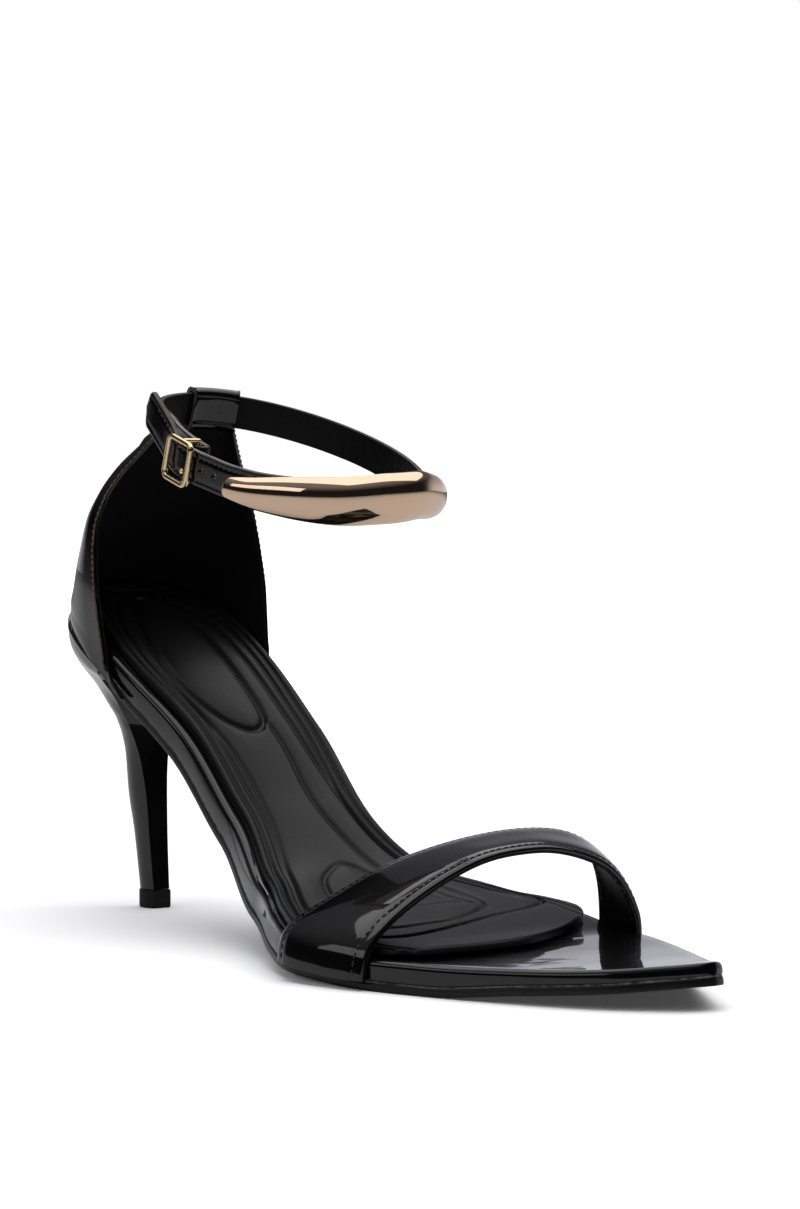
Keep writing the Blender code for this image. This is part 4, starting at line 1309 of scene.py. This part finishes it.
@dataclass
class ToeStrap:
    """Band across the toes with turned and stitched edges."""

    last: Last
    finishes: Finishes
    thick: float = 1.7 * MM
    arch: float = 32.1 * MM
    lateral: tuple = (128.5 * MM, 157.0 * MM)
    medial: tuple = (138.5 * MM, 153.0 * MM)
    seam_share: float = 0.085       # stitch line's place from each edge
    seam_press: float = 0.22 * MM
    seam_width: float = 0.018       # of the press, as a share of the band's width
    stitch: Stitch = Stitch(2.0 * MM, 1.5 * MM, 0.42 * MM)
    edge_bulge: float = 0.5
    crown: float = 0.7 * MM
    stations: int = 260
    across: int = 41
    foot_rows: int = 9              # rows from a seam up to the table's first or last one
    drape: int = 700                # passes that average each row with its neighbours
    taut: float = 0.16              # share of that averaging at the medial end
    held: float = 0.035             # share of the band at the lateral seam that eases less
    # back across, up, front across, up: shares of the span and of arch
    table: tuple = (
        # back across, up    front across, up
        (0.000, 0.165, 0.000, 0.125),
        (0.000, 0.340, 0.000, 0.245),
        (0.006, 0.400, 0.006, 0.310),
        (0.075, 0.468, 0.072, 0.470),
        (0.150, 0.571, 0.147, 0.597),
        (0.225, 0.671, 0.235, 0.704),
        (0.300, 0.769, 0.320, 0.804),
        (0.385, 0.843, 0.407, 0.880),
        (0.502, 0.925, 0.493, 0.920),
        (0.665, 0.993, 0.612, 0.932),
        (0.758, 1.000, 0.700, 0.912),
        (0.835, 0.987, 0.815, 0.827),
        (0.902, 0.937, 0.885, 0.735),
        (0.957, 0.838, 0.935, 0.620),
        (0.985, 0.677, 0.972, 0.470),
        (0.995, 0.522, 0.993, 0.350),
        (1.000, 0.350, 1.000, 0.252),
    )

    def face(self) -> Array:
        """Outer face: a smooth table of places across and up, from seam to seam.

        Each pass of drape moves a row by ease times the step to its neighbours' mean.

        Returns:
            Points as (rows, points across, 3).
        """
        last = self.last
        back_y, back_z, front_y, front_z = even_table(self.table, self.stations)
        wide = np.linspace(0.016, 0.984, self.across)[None, :]
        across = back_y + (front_y - back_y) * wide
        up = self.arch * (back_z + (front_z - back_z) * wide)
        foot = np.zeros_like(wide)
        across = np.concatenate([foot, across, foot + 1.0])
        lateral = self.lateral[0] + (self.lateral[1] - self.lateral[0]) * wide
        medial = self.medial[0] + (self.medial[1] - self.medial[0]) * wide
        x = lateral + (medial - lateral) * across
        edge = GAP + self.thick
        low = last.swing_at(x) - last.half_at(x) - edge
        high = last.swing_at(x) + last.half_at(x) + edge
        under = last.underside(x)
        up = np.concatenate([under[:1], up, under[-1:]])
        face = np.stack([x, low + (high - low) * across, up], axis=-1)
        step = np.linspace(0, 1, self.foot_rows)[:, None, None]
        near = face[0] + (face[1] - face[0]) * step[:-1]
        far = face[-2] + (face[-1] - face[-2]) * step[1:]
        face = np.concatenate([near, face[1:-1], far])
        share = np.linspace(0.0, 1.0, len(face) - 2)[:, None, None]
        ease = self.taut + (1 - self.taut) * np.clip(1.6 - 3.2 * share, 0.0, 1.0)
        ease = ease * np.clip(share / self.held, 0.05, 1.0)
        for _ in range(self.drape):
            face[1:-1] += ease * ((face[:-2] + face[2:]) / 4 - face[1:-1] / 2)
        return face

    def dress(self) -> None:
        """Builds and places the band, its pressed seams and its stitches."""
        finishes = self.finishes
        base = self.face()
        normal = grid_normals(base)
        if normal[len(base) // 2, self.across // 2, 2] < 0:
            normal = -normal
        wide = np.linspace(0.0, 1.0, base.shape[1])
        seams = (("back", self.seam_share), ("front", 1 - self.seam_share))
        press = sum(np.exp(-((wide - seam) / self.seam_width) ** 2) for _, seam in seams)
        puff = self.crown * (1 - (2 * wide - 1) ** 4) - self.seam_press * press
        outer = base + normal * puff[None, :, None]
        inner = base - normal * self.thick
        band = sheet_wall("toe_strap_band", outer, inner, self.edge_bulge,
                          [finishes.patent, finishes.lining, finishes.grey_edge],
                          (0, 0, 0, 1, 2, 1))
        place(band, Slot.PATENT, "toe_strap")
        # a side's name, its face, the way out of it, and the rows left bare at each seam
        sides = (("", outer, normal, 4), ("lining_", inner, -normal, 12))
        for name, share in seams:
            for side, face, out, bare in sides:
                sew(f"toe_strap_{name}_{side}stitches", along_grid(face, share)[bare:-bare],
                    along_grid(out, share)[bare:-bare], self.stitch, finishes.thread)


# Ankle


@dataclass
class AnkleRoute:
    """Route of the ankle strap: an ellipse in a plane that falls to the toe."""

    counter: Counter
    strap_thick: float = 1.8 * MM
    strap_width: float = 8.6 * MM
    length: float = 83.8 * MM
    width: float = 60.2 * MM
    slope: float = -0.30            # rise of its plane towards the toe
    roll: float = -0.025            # rise of its plane towards the medial side
    shift: float = 2.3 * MM
    lift: float = 5.4 * MM          # how far the strap stands up out of that plane
    tunnel_wall: float = 0.9 * MM
    tunnel_sink: float = 0.6 * MM
    step: float = 1e-4              # radians to each side that a tangent is read over
    # degrees round the ring, and share of its lift
    table: tuple = (
        (0.0, 0.00),
        (116.0, 0.00),
        (134.0, 0.26),
        (150.0, 0.70),
        (165.0, 1.00),
        (180.0, 0.95),
        (200.0, 0.65),
        (220.0, 0.36),
        (238.0, 0.08),
        (250.0, 0.00),
        (360.0, 0.00),
    )

    def __post_init__(self) -> None:
        """Hangs the ring on the counter's top edge."""
        top = self.counter.face(0.0, levels=21, bend=22)[-1]
        back = top[np.argmin(top[:, 0])]
        tunnel_half = self.strap_width / 2 + GAP + self.tunnel_wall
        self.up = unit(np.array([-self.slope, -self.roll, 1.0]))
        start = back + self.up * (tunnel_half - self.tunnel_sink)
        self.centre = np.array([start[0] + self.length / 2, self.shift,
                                start[2] + self.slope * self.length / 2])

    def point(self, angle: Array) -> Array:
        """Middle of the strap: an ellipse in its plane, plus the table's lift.

        Args:
            angle: Radians round the ring: 0 behind, 90 degrees medial, 180 at the front.

        Returns:
            The point for each angle.
        """
        angle = np.asarray(angle, float)
        x = -self.length / 2 * np.cos(angle)
        y = self.width / 2 * np.sin(angle)
        lift, = read_table(self.table, np.degrees(angle) % 360.0)
        z = self.slope * x + self.roll * y + self.lift * lift
        return self.centre + np.stack([x, y, z], axis=-1)

    def frame(self, angle: Array) -> tuple[Array, Array]:
        """Unit tangent and outward normal at an angle in radians."""
        tangent = unit(self.point(angle + self.step) - self.point(angle - self.step))
        return tangent, np.cross(self.up, tangent)


@dataclass
class Buckle:
    """Wire frame buckle with its dropped bar and prong."""

    route: AnkleRoute
    finishes: Finishes
    at: float = math.radians(-92)   # its place round the ring
    wire: float = 1.4 * MM
    bar: float = 1.2 * MM
    bar_corner: float = 0.9 * MM
    length: float = 11.2 * MM
    corner: float = 1.6 * MM
    squareness: float = 2.6         # of the frame's wire
    prong: float = 1.0 * MM
    prong_drop: float = 1.6 * MM    # how far it lies under the strap's middle
    prong_rise: float = 0.5 * MM    # how far its tip stands out over the frame
    prong_gap: float = 0.1 * MM     # from its tip to the frame's front side
    prong_points: int = 60
    ball: float = 0.45              # how much thicker the prong's round tip is
    slot_width: float = 2.0 * MM
    outer_shift: float = 0.6 * MM   # how far the free end's layer stands out of the ring

    def stack(self) -> dict[str, float]:
        """Layers under the buckle.

        Returns:
            Distance of each layer's middle out from the ring's line, and the radius
            of the curl round the bar.
        """
        thick = self.route.strap_thick
        outer = self.outer_shift
        bar = outer - (thick / 2 + GAP + thick + GAP + self.bar / 2)
        curl = self.bar / 2 + GAP + thick / 2
        return {"outer": outer, "bar": bar, "inner": bar - curl, "curl": curl,
                "frame": outer + thick / 2 + GAP + self.wire / 2}

    def axes(self) -> tuple[Array, Array, Array, Array]:
        """Centre of the buckle and its directions forward, out and up."""
        tangent, normal = self.route.frame(self.at)
        return self.route.point(self.at), -tangent, normal, self.route.up

    def dress(self) -> None:
        """Builds and places the frame, its bar and the prong."""
        at, forward, out, up = self.axes()
        stack = self.stack()
        half_length = (self.length - self.wire) / 2
        half_height = self.route.strap_width / 2 + GAP + self.bar / 2
        quarter = np.linspace(0, math.pi / 2, 12)
        path = []
        for number, (sx, sy) in enumerate(((1, 1), (-1, 1), (-1, -1), (1, -1))):
            turn = quarter + number * math.pi / 2
            path.append(np.stack([sx * (half_length - self.corner) + self.corner * np.cos(turn),
                                  sy * (half_height - self.corner) + self.corner * np.sin(turn)],
                                 axis=-1))
        path = np.concatenate(path)
        centre = at + out * stack["frame"]
        loop = centre + np.outer(path[:, 0], forward) + np.outer(path[:, 1], up)
        rings = tube_rings(loop, self.wire / 2, out, 24, closed=True, square=self.squareness)
        frame_wire = loft("buckle_frame", rings, self.finishes.pale, closed=True, sharp=60.0)
        place(frame_wire, Slot.PALE, "buckle")
        drop = stack["bar"] - stack["frame"]
        turn = np.linspace(0, math.pi / 2, 9)
        side = np.stack([half_height - self.bar_corner * (1 - np.cos(turn)),
                         drop + self.bar_corner * (1 - np.sin(turn))], axis=-1)
        side = np.concatenate([[(half_height, 0.0), (half_height, drop + 2 * self.bar_corner)],
                               side])
        both = np.concatenate([side, side[::-1] * (-1, 1)])
        bar = centre + np.outer(both[:, 0], up) + np.outer(both[:, 1], out)
        rings = tube_rings(bar, self.bar / 2, forward, 18)
        place(loft("buckle_bar", rings, self.finishes.pale, sharp=60.0), Slot.PALE)
        radius = self.prong / 2
        root = stack["bar"] + self.bar / 2 + GAP + radius
        rest = stack["frame"] + self.wire / 2 + self.prong_rise
        front = half_length - self.wire / 2 - (1 + self.ball) * radius - self.prong_gap
        # places ahead of the bar and out from the ring: along the strap, then up its hole
        knots = np.array([(0.2 * MM, root), (0.30 * front, root + 0.1 * MM),
                          (0.66 * front, root + 0.8 * MM), (0.90 * front, stack["outer"]),
                          (0.99 * front, stack["frame"]), (front, rest)])
        knots = curve_through(knots, self.prong_points)
        line = (at - up * self.prong_drop + np.outer(knots[:, 0], forward)
                + np.outer(knots[:, 1], out))
        share = np.linspace(0.0, 1.0, self.prong_points)
        # swells to the ball near 0.93 of its length and rounds off over the last tenth
        taper = ((1 + self.ball * np.exp(-((share - 0.93) / 0.09) ** 2))
                 * np.sqrt(1 - np.clip((share - 0.90) / 0.10, 0, 0.97) ** 2))
        rings = tube_rings(line, radius, up, 18, taper=taper)
        place(loft("buckle_prong", rings, self.finishes.pale, sharp=60.0), Slot.PALE, "prong")


@dataclass
class AnkleStrap:
    """Ankle strap: curled round the buckle's bar, through the tunnel, round the
    ankle, under the buckle's frame and out to its free end with its upright cut."""

    route: AnkleRoute
    buckle: Buckle
    finishes: Finishes
    bulge: float = 0.35             # how round its cut edges are
    crown: float = 0.12 * MM
    lining_set: float = 0.1 * MM    # how far the lining lies within the thickness
    curl_turn: float = math.radians(75)      # the curl turns twice this round the bar
    curl_lap: float = math.radians(3)        # where the ring takes over from the curl
    stations: int = 560
    stitch: Stitch = Stitch(1.7 * MM, 1.2 * MM, 0.38 * MM)
    tip_stitch: Stitch = Stitch(1.7 * MM, 1.2 * MM, 0.34 * MM)
    tip_lift: float = 8.0 * MM
    tip_flare: float = 2.6 * MM
    tip_point: float = 1.6 * MM     # length over which its corners round off
    tip_shear: float = 14.0 * MM    # length over which the free end turns to an upright cut
    free_end: float = math.radians(25)
    hole_width: float = 1.7 * MM
    hole_pitch: float = 4.5 * MM
    hole_count: int = 2
    slot_ahead: float = 1.3 * MM    # middle of the prong's slot, ahead of the bar
    slot_reach: float = 2.2 * MM    # half length of the prong's slot in the curled end
    prong_hole: float = 0.95 * MM   # half width of the hole that the prong is through
    prong_hole_at: float = 3.25 * MM         # its middle, ahead of the bar
    seam_inset: float = 1.3 * MM
    seam_press: float = 0.14 * MM
    seam_width: float = 0.09        # of the press, as a share of the strap's half width
    crease: float = 2.4 * MM        # distance between the lining's creases
    crease_depth: float = 0.045 * MM
    tunnel_near: float = math.radians(-5)
    tunnel_far: float = math.radians(20)
    tunnel_fold: float = 0.5 * MM   # how far the fold along its lower inside edge stands out
    tunnel_lip: float = 0.18 * MM   # how far its mouths flare
    tunnel_rows: int = 41
    tunnel_sides: int = 64

    def line(self) -> tuple[Array, Array, Array, Array]:
        """The strap's middle line: an arc round the bar, then the ring with its shifts.

        Returns:
            Points, outward directions, upward directions and half widths.
        """
        route, stack = self.route, self.buckle.stack()
        start = self.buckle.at
        point, forward, normal, _ = self.buckle.axes()
        turn = np.linspace(self.curl_turn, -self.curl_turn, 25)
        curl_out = np.outer(np.cos(turn), forward) + np.outer(np.sin(turn), normal)
        curl = point + normal * stack["bar"] + curl_out * stack["curl"]
        lap = start + 2 * math.pi
        end = lap + self.free_end
        angle = np.linspace(start + self.curl_lap, end, self.stations)
        inner, outer = stack["inner"], stack["outer"]
        # places round the ring, and how far out of it the strap runs there
        shift, = read_table((
            (start, inner),
            (start + math.radians(30), inner),
            (math.radians(-26), 0.0),
            (math.radians(30), 0.0),
            (lap - math.radians(16), 0.0),
            (lap - math.radians(6), outer),
            (lap + 0.4 * self.free_end, outer),
            (end, outer + self.tip_flare),
        ), angle)
        lift, = read_table(((start, 0.0), (math.pi, 0.0), (lap, 0.0), (end, self.tip_lift)), angle)
        _, out = route.frame(angle)
        ahead = route.point(angle) + out * shift[:, None] + route.up * lift[:, None]
        points = np.concatenate([curl, ahead])
        travel = unit(np.gradient(points, axis=0))
        outward = unit(np.cross(np.broadcast_to(route.up, points.shape), travel))
        upward = unit(np.cross(travel, outward))
        half = np.full(len(points), route.strap_width / 2)
        left = np.linalg.norm(points - points[-1], axis=1)
        tail = np.arange(len(points)) > len(points) // 2
        stand = np.where(tail, np.clip(1 - left / self.tip_shear, 0.0, 1.0), 0.0)[:, None]
        stand = stand * stand * (3 - 2 * stand)
        upright = route.up / np.sum(route.up * upward, axis=1, keepdims=True)
        upward = upward + stand * (upright - upward)
        narrow = np.sqrt(1 - 0.96 * (1 - np.clip(left / self.tip_point, 0.0, 1.0)) ** 2.6)
        return points, outward, upward, np.where(tail, half * narrow, half)

    def punch(self) -> list:
        """Cutters for the round holes, and for the slot and the hole of the prong.

        Returns:
            The solids to cut out of the strap.
        """
        route, buckle = self.route, self.buckle
        degree = math.radians(1)
        pace = np.linalg.norm(route.point(buckle.at) - route.point(buckle.at - degree)) / degree
        cutters = []
        for number in range(self.hole_count):
            angle = buckle.at - (buckle.length / 2 + self.hole_pitch * (0.5 + number)) / pace
            _, out = route.frame(angle)
            ends = route.point(angle) + np.outer(np.array([-3.0, 3.0]) * MM, out)
            rings = tube_rings(ends, self.hole_width / 2, route.up, 20)
            cutters.append(loft("hole_cutter", rings, self.finishes.patent))
        at, forward, out, up = buckle.axes()
        stack = buckle.stack()
        low = stack["bar"] - buckle.bar / 2
        under = stack["outer"] - (route.strap_thick + GAP) / 2
        high = stack["outer"] + route.strap_thick
        for ahead, start, end, reach in ((self.slot_ahead, low, under, self.slot_reach),
                                         (self.prong_hole_at, under, high, self.prong_hole)):
            centre = at + forward * ahead - up * buckle.prong_drop
            ends = centre + np.outer(np.array([start, end]), out)
            opening = tube_rings(ends, reach, up, 28, flat=min(1.0, buckle.slot_width / 2 / reach))
            cutters.append(loft("slot_cutter", opening, self.finishes.patent))
        return cutters

    def tunnel(self) -> bpy.types.Object:
        """Folded loop of patent that carries the strap at the back of the heel.

        Its section is a rounded oblong outside and inside, with lips at the mouths and
        a fold along the lower inside edge.

        Returns:
            The new object.
        """
        route, count, sides = self.route, self.tunnel_rows, self.tunnel_sides
        angle = np.linspace(self.tunnel_near, self.tunnel_far, count)
        _, out = route.frame(angle)
        turn = np.linspace(0, 2 * math.pi, sides, endpoint=False)
        share = np.linspace(-1, 1, count)
        lip = self.tunnel_lip * np.exp(-((1 - np.abs(share)) / 0.08) ** 2)
        skins = []
        # how thick the wall is, the section's two exponents, and the fold
        for grow, deep, high, fold in (
                (GAP + route.tunnel_wall + lip, 0.70, 0.46, self.tunnel_fold),
                (GAP + 0 * lip, 0.60, 0.36, 0.0)):
            a = signed_power(np.cos(turn), deep)[None, :]
            b = signed_power(np.sin(turn), high)[None, :]
            puff = fold * np.exp(-((b + 0.72) / 0.16) ** 2) * (a < 0)
            thick = (route.strap_thick / 2 + grow)[:, None] + puff
            tall = (route.strap_width / 2 + grow)[:, None]
            skins.append(route.point(angle)[:, None] + out[:, None] * (a * thick)[..., None]
                         + route.up * (b * tall)[..., None])
        rings = np.concatenate([skins[0], skins[1][::-1]])
        quads = grid_faces(len(rings), sides, wrap=True)
        first = np.arange(sides)
        close = np.stack([first, (first + 1) % sides], axis=-1)
        join = np.concatenate([close[:, ::-1], close + (len(rings) - 1) * sides], axis=1)
        faces = np.concatenate([quads, join])
        slots = np.zeros(len(faces), int)
        slots[(count - 1) * sides + first] = 1
        slots[len(quads):] = 1
        return add_piece("strap_tunnel", rings.reshape(-1, 3), faces.tolist(),
                         [self.finishes.patent, self.finishes.grey_edge], slots, 50.0)

    def dress(self) -> None:
        """Builds and places the strap, its stitches and the tunnel."""
        finishes, route = self.finishes, self.route
        points, outward, upward, half = self.line()
        wide = np.linspace(-1.0, 1.0, 21)
        room = np.maximum(half - route.strap_thick / 2 * self.bulge, 0.1 * MM)
        rise = upward[:, None] * (room[:, None] * wide[None, :])[..., None]
        seam = 1 - self.seam_inset / (route.strap_width / 2)
        press = np.exp(-((np.abs(wide) - seam) / self.seam_width) ** 2)
        crown = self.crown * (1 - wide ** 4) - self.seam_press * press
        outer = points[:, None] + rise + outward[:, None] * (
            (route.strap_thick / 2 + crown)[None, :, None] - self.crown)
        gone = travelled(points)
        wave, side = (gone * 2 * math.pi / self.crease)[:, None], wide[None, :]
        # creases of three lengths that slant and fade, so that none repeats
        fold = (np.sin(wave + 1.9 * np.sin(wave * 0.37) + 1.4 * side)
                + 0.7 * np.sin(wave * 1.73 + 1.0 - 2.2 * side)
                + 0.6 * np.sin(wave * 0.53 + 2.6 * side))
        fold = fold * (0.55 + 0.45 * np.sin(wave * 0.21 + 1.7 * side))
        lining = self.crease_depth * fold * (1 - side ** 6)
        inner = points[:, None] + rise - outward[:, None] * (
            route.strap_thick / 2 - self.lining_set + lining)[..., None]
        strap = sheet_wall("ankle_strap_band", outer, inner, self.bulge,
                           [finishes.patent, finishes.lining, finishes.tan_edge,
                            finishes.grey_edge], (0, 2, 0, 3, 1, 1))
        cut(strap, self.punch())
        place(strap, Slot.PATENT, "ankle_strap")
        for name, side in (("upper", seam), ("lower", -seam)):
            sew(f"ankle_strap_{name}_stitches", along_grid(outer, (side + 1) / 2)[30:-8],
                outward[30:-8], self.stitch, finishes.thread)
        last = int(np.argmax(gone > gone[-1] - self.seam_inset))
        sew("ankle_strap_tip_stitches", outer[last, 3:-3],
            np.repeat(outward[last:last + 1], len(wide) - 6, axis=0), self.tip_stitch,
            finishes.thread)
        place(self.tunnel(), Slot.PATENT)


@dataclass
class Bangle:
    """Puffy crescent of rose gold round the front of the ankle strap."""

    route: AnkleRoute
    finishes: Finishes
    height: float = 12.9 * MM
    depth: float = 6.4 * MM
    end_height: float = 5.4 * MM
    end_depth: float = 3.2 * MM
    end_drop: float = 0.9 * MM
    half_angle: float = math.radians(64.5)
    fullness: float = 2.2           # exponent of its swell, higher for blunter ends
    dome: float = 0.22              # share of the swell over which an end domes
    inside: float = 0.31            # part of the depth that lies inside its middle
    outside: float = 0.69           # part that lies outside it
    flat: float = 0.45              # how flat the inside is against the outside

    def dress(self) -> None:
        """Builds and places the bangle: a section that swells to the middle,
        flatter inside than outside, with domed ends."""
        route = self.route
        angle = math.pi + self.half_angle * np.sin(np.linspace(-math.pi / 2, math.pi / 2, 200))
        share = (angle - math.pi) / self.half_angle
        swell = np.sqrt(np.clip(1 - share ** 2, 0.0, 1.0))
        cap = np.clip(swell / self.dome, 0.0, 1.0)
        cap = np.sqrt(1 - (1 - np.maximum(cap, 0.004)) ** 2)
        body = np.clip(1 - np.abs(share) ** self.fullness, 0.0, 1.0)
        tall = (self.end_height + (self.height - self.end_height) * body) * cap
        deep = (self.end_depth + (self.depth - self.end_depth) * body) * cap
        drop = self.end_drop * np.abs(share) ** 3
        _, out = route.frame(angle)
        around = np.linspace(0, 2 * math.pi, 72, endpoint=False)
        reach = np.where(np.cos(around) > 0, 1.0, self.flat) * np.cos(around)
        stand = route.strap_thick / 2 + GAP + self.inside * deep
        middle = route.point(angle) + out * stand[:, None] - route.up * drop[:, None]
        rings = (middle[:, None]
                 + out[:, None] * (self.outside * deep[:, None] * reach[None, :])[..., None]
                 + route.up * (tall[:, None] / 2 * np.sin(around)[None, :])[..., None])
        place(loft("rose_gold_bangle", rings, self.finishes.rose, sharp=80.0), Slot.ROSE, "bangle")


# Studio


@dataclass
class Studio:
    """Plain pale floor, soft light, and the camera at the photographed angle."""

    azimuth: float = 55.65          # degrees, 0 looks along +Y
    elevation: float = 3.3
    place: tuple = (0.97192, -0.58681, 0.14500)
    lens: float = 129.14
    floor_half: float = 4.0
    paper: str = "#e8e8e8"
    paper_seen: float = 1.5         # the camera sees the paper overexposed
    paper_glow: float = 0.05        # light off the paper that shadows don't darken
    paper_near: tuple = (0.25, 0.9)          # metres out, over which the glow grows to 1
    backdrop: tuple = (-0.826, 0.564, 0.0)   # where the bright backdrop stands
    backdrop_edge: tuple = (0.25, 0.80)      # cosines off it where its light starts and is full
    # light of the room and of the backdrop: two upward shares of the direction with
    # their linear colours, and the strength
    room: tuple = (((0.36, (0.025, 0.025, 0.028)), (0.70, (0.40, 0.40, 0.42))), 0.55)
    pale: tuple = (((0.05, (0.70, 0.70, 0.76)), (0.36, (0.11, 0.11, 0.12))), 1.0)
    # name, place, the point that it faces, width and height, watts
    softboxes: tuple = (
        ("top_softbox", (0.00, 0.30, 1.35), (0.10, 0.0, 0.05), (2.2, 2.2), 21.0),
        ("left_softbox", (0.10, -1.08, 0.66), (0.10, 0.0, 0.06), (1.2, 0.34), 1.7),
    )

    def hang(self, name: str, data: Any, right: Array, back: Array,
             spot: tuple) -> bpy.types.Object:
        """Hangs a camera or a light: its matrix's columns are right, up, back and spot.

        Args:
            name: Its name.
            data: The camera or light.
            right: Its unit direction to the right.
            back: Its unit direction backwards.
            spot: Its place.

        Returns:
            The new object.
        """
        matrix = np.eye(4)
        matrix[:3] = np.stack([right, np.cross(back, right), back, spot], axis=-1)
        made = add_object(name, data)
        made.matrix_world = matrix.T.tolist()
        return made

    def camera(self) -> None:
        """Adds the camera."""
        turn, rise = math.radians(self.azimuth), math.radians(self.elevation)
        back = np.array([math.sin(turn) * math.cos(rise), -math.cos(turn) * math.cos(rise),
                         math.sin(rise)])
        right = np.array([math.cos(turn), math.sin(turn), 0.0])
        data = bpy.data.cameras.new("camera")
        data.lens = self.lens
        data.sensor_width = 36.0
        data.clip_start = 0.05
        data.clip_end = 50.0
        bpy.context.scene.camera = self.hang("camera", data, right, back, self.place)

    def floor(self) -> None:
        """Adds the sheet of paper that the shoe stands on."""
        made, tree, shader, where = shaded(
            "studio_paper", Base_Color=linear(self.paper), Roughness=0.9,
            Specular_IOR_Level=0.1, Emission_Color=WHITE)
        fibre = add_node(tree, "ShaderNodeTexNoise", {}, {"Vector": where, "Scale": 1 / MM})
        bumped(tree, shader, fibre.outputs["Fac"], 0.01 * MM)
        middle = add_node(tree, "ShaderNodeVectorMath", {"operation": "LENGTH"}, {0: where})
        near, far = self.paper_near
        glow = add_node(tree, "ShaderNodeMapRange", {"interpolation_type": "SMOOTHSTEP"}, {
            "Value": middle.outputs["Value"], "From Min": near, "From Max": far,
            "To Min": self.paper_glow, "To Max": 1.0})
        seen = add_node(tree, "ShaderNodeLightPath").outputs["Is Camera Ray"]
        shown = add_node(tree, "ShaderNodeMath", {"operation": "MULTIPLY"}, {
            0: glow.outputs["Result"], 1: seen})
        tone = add_node(tree, "ShaderNodeMix", {"data_type": "RGBA"}, {
            "Factor": seen, 6: linear(self.paper), 7: (*[self.paper_seen] * 3, 1.0)})
        tree.links.new(tone.outputs[2], shader.inputs["Base Color"])
        tree.links.new(shown.outputs["Value"], shader.inputs["Emission Strength"])
        mesh = bpy.data.meshes.new("studio_floor")
        mesh.from_pydata([(x * self.floor_half, y * self.floor_half, 0.0)
                          for x, y in ((-1, -1), (1, -1), (1, 1), (-1, 1))], [], [(0, 1, 2, 3)])
        mesh.materials.append(made)
        add_object("studio_floor", mesh)

    def softbox(self, name: str, spot: tuple, aim: tuple, size: tuple, power: float) -> None:
        """Adds a rectangular softbox.

        Args:
            name: Its name.
            spot: Where it hangs.
            aim: The point that it faces.
            size: Its width and height.
            power: Its power in watts.
        """
        data = bpy.data.lights.new(name, "AREA")
        data.shape = "RECTANGLE"
        data.size, data.size_y = size
        data.energy = power
        back = unit(np.array(spot) - np.array(aim))
        self.hang(name, data, unit(np.cross((0.0, 0.0, 1.0), back)), back, spot)

    def surround(self) -> None:
        """Adds the room: dim in front, a bright ceiling and a pale backdrop behind."""
        scene = bpy.context.scene
        world = scene.world = bpy.data.worlds.new("studio")
        world.use_nodes = True
        tree = world.node_tree
        tree.nodes.clear()
        way = add_node(tree, "ShaderNodeTexCoord").outputs["Generated"]
        split = add_node(tree, "ShaderNodeSeparateXYZ", {}, {"Vector": way})
        lit = []
        for stops, strength in (self.room, self.pale):
            ramp = add_node(tree, "ShaderNodeValToRGB", {}, {"Fac": split.outputs["Z"]})
            for number, (height, colour) in enumerate(stops):
                stop = ramp.color_ramp.elements[number]
                stop.position, stop.color = height, (*colour, 1.0)
            lit.append(add_node(tree, "ShaderNodeBackground", {}, {
                "Color": ramp.outputs["Color"], "Strength": strength}).outputs["Background"])
        facing = add_node(tree, "ShaderNodeVectorMath", {"operation": "DOT_PRODUCT"}, {
            0: way, 1: self.backdrop})
        near, full = self.backdrop_edge
        behind = add_node(tree, "ShaderNodeMapRange", {"interpolation_type": "SMOOTHSTEP"}, {
            "Value": facing.outputs["Value"], "From Min": near, "From Max": full})
        around = add_node(tree, "ShaderNodeMixShader", {}, {
            0: behind.outputs["Result"], 1: lit[0], 2: lit[1]})
        white = add_node(tree, "ShaderNodeBackground", {}, {"Color": WHITE, "Strength": 1.0})
        seen = add_node(tree, "ShaderNodeLightPath").outputs["Is Camera Ray"]
        mixed = add_node(tree, "ShaderNodeMixShader", {}, {
            0: seen, 1: around.outputs["Shader"], 2: white.outputs["Background"]})
        add_node(tree, "ShaderNodeOutputWorld", {}, {"Surface": mixed.outputs["Shader"]})

    def build(self) -> None:
        """Sets up the whole studio."""
        bpy.context.scene.view_settings.view_transform = "Standard"
        self.surround()
        self.floor()
        for softbox in self.softboxes:
            self.softbox(*softbox)
        self.camera()


def main() -> None:
    """Builds the shoe in the order that it is made, then its studio."""
    logging.basicConfig(level=logging.INFO, format="%(name)s %(message)s")
    finishes = Finishes()
    last = Last()
    counter = Counter(last, finishes)
    route = AnkleRoute(counter)
    buckle = Buckle(route, finishes)
    assemblies = (
        SoleUnit(last, finishes),
        PaddedSock(last, finishes),
        StilettoHeel(last, finishes),
        counter,
        ToeStrap(last, finishes),
        AnkleStrap(route, buckle, finishes),
        buckle,
        Bangle(route, finishes),
    )
    for assembly in assemblies:
        assembly.dress()
    Studio().build()


if __name__ == "__main__":
    main()
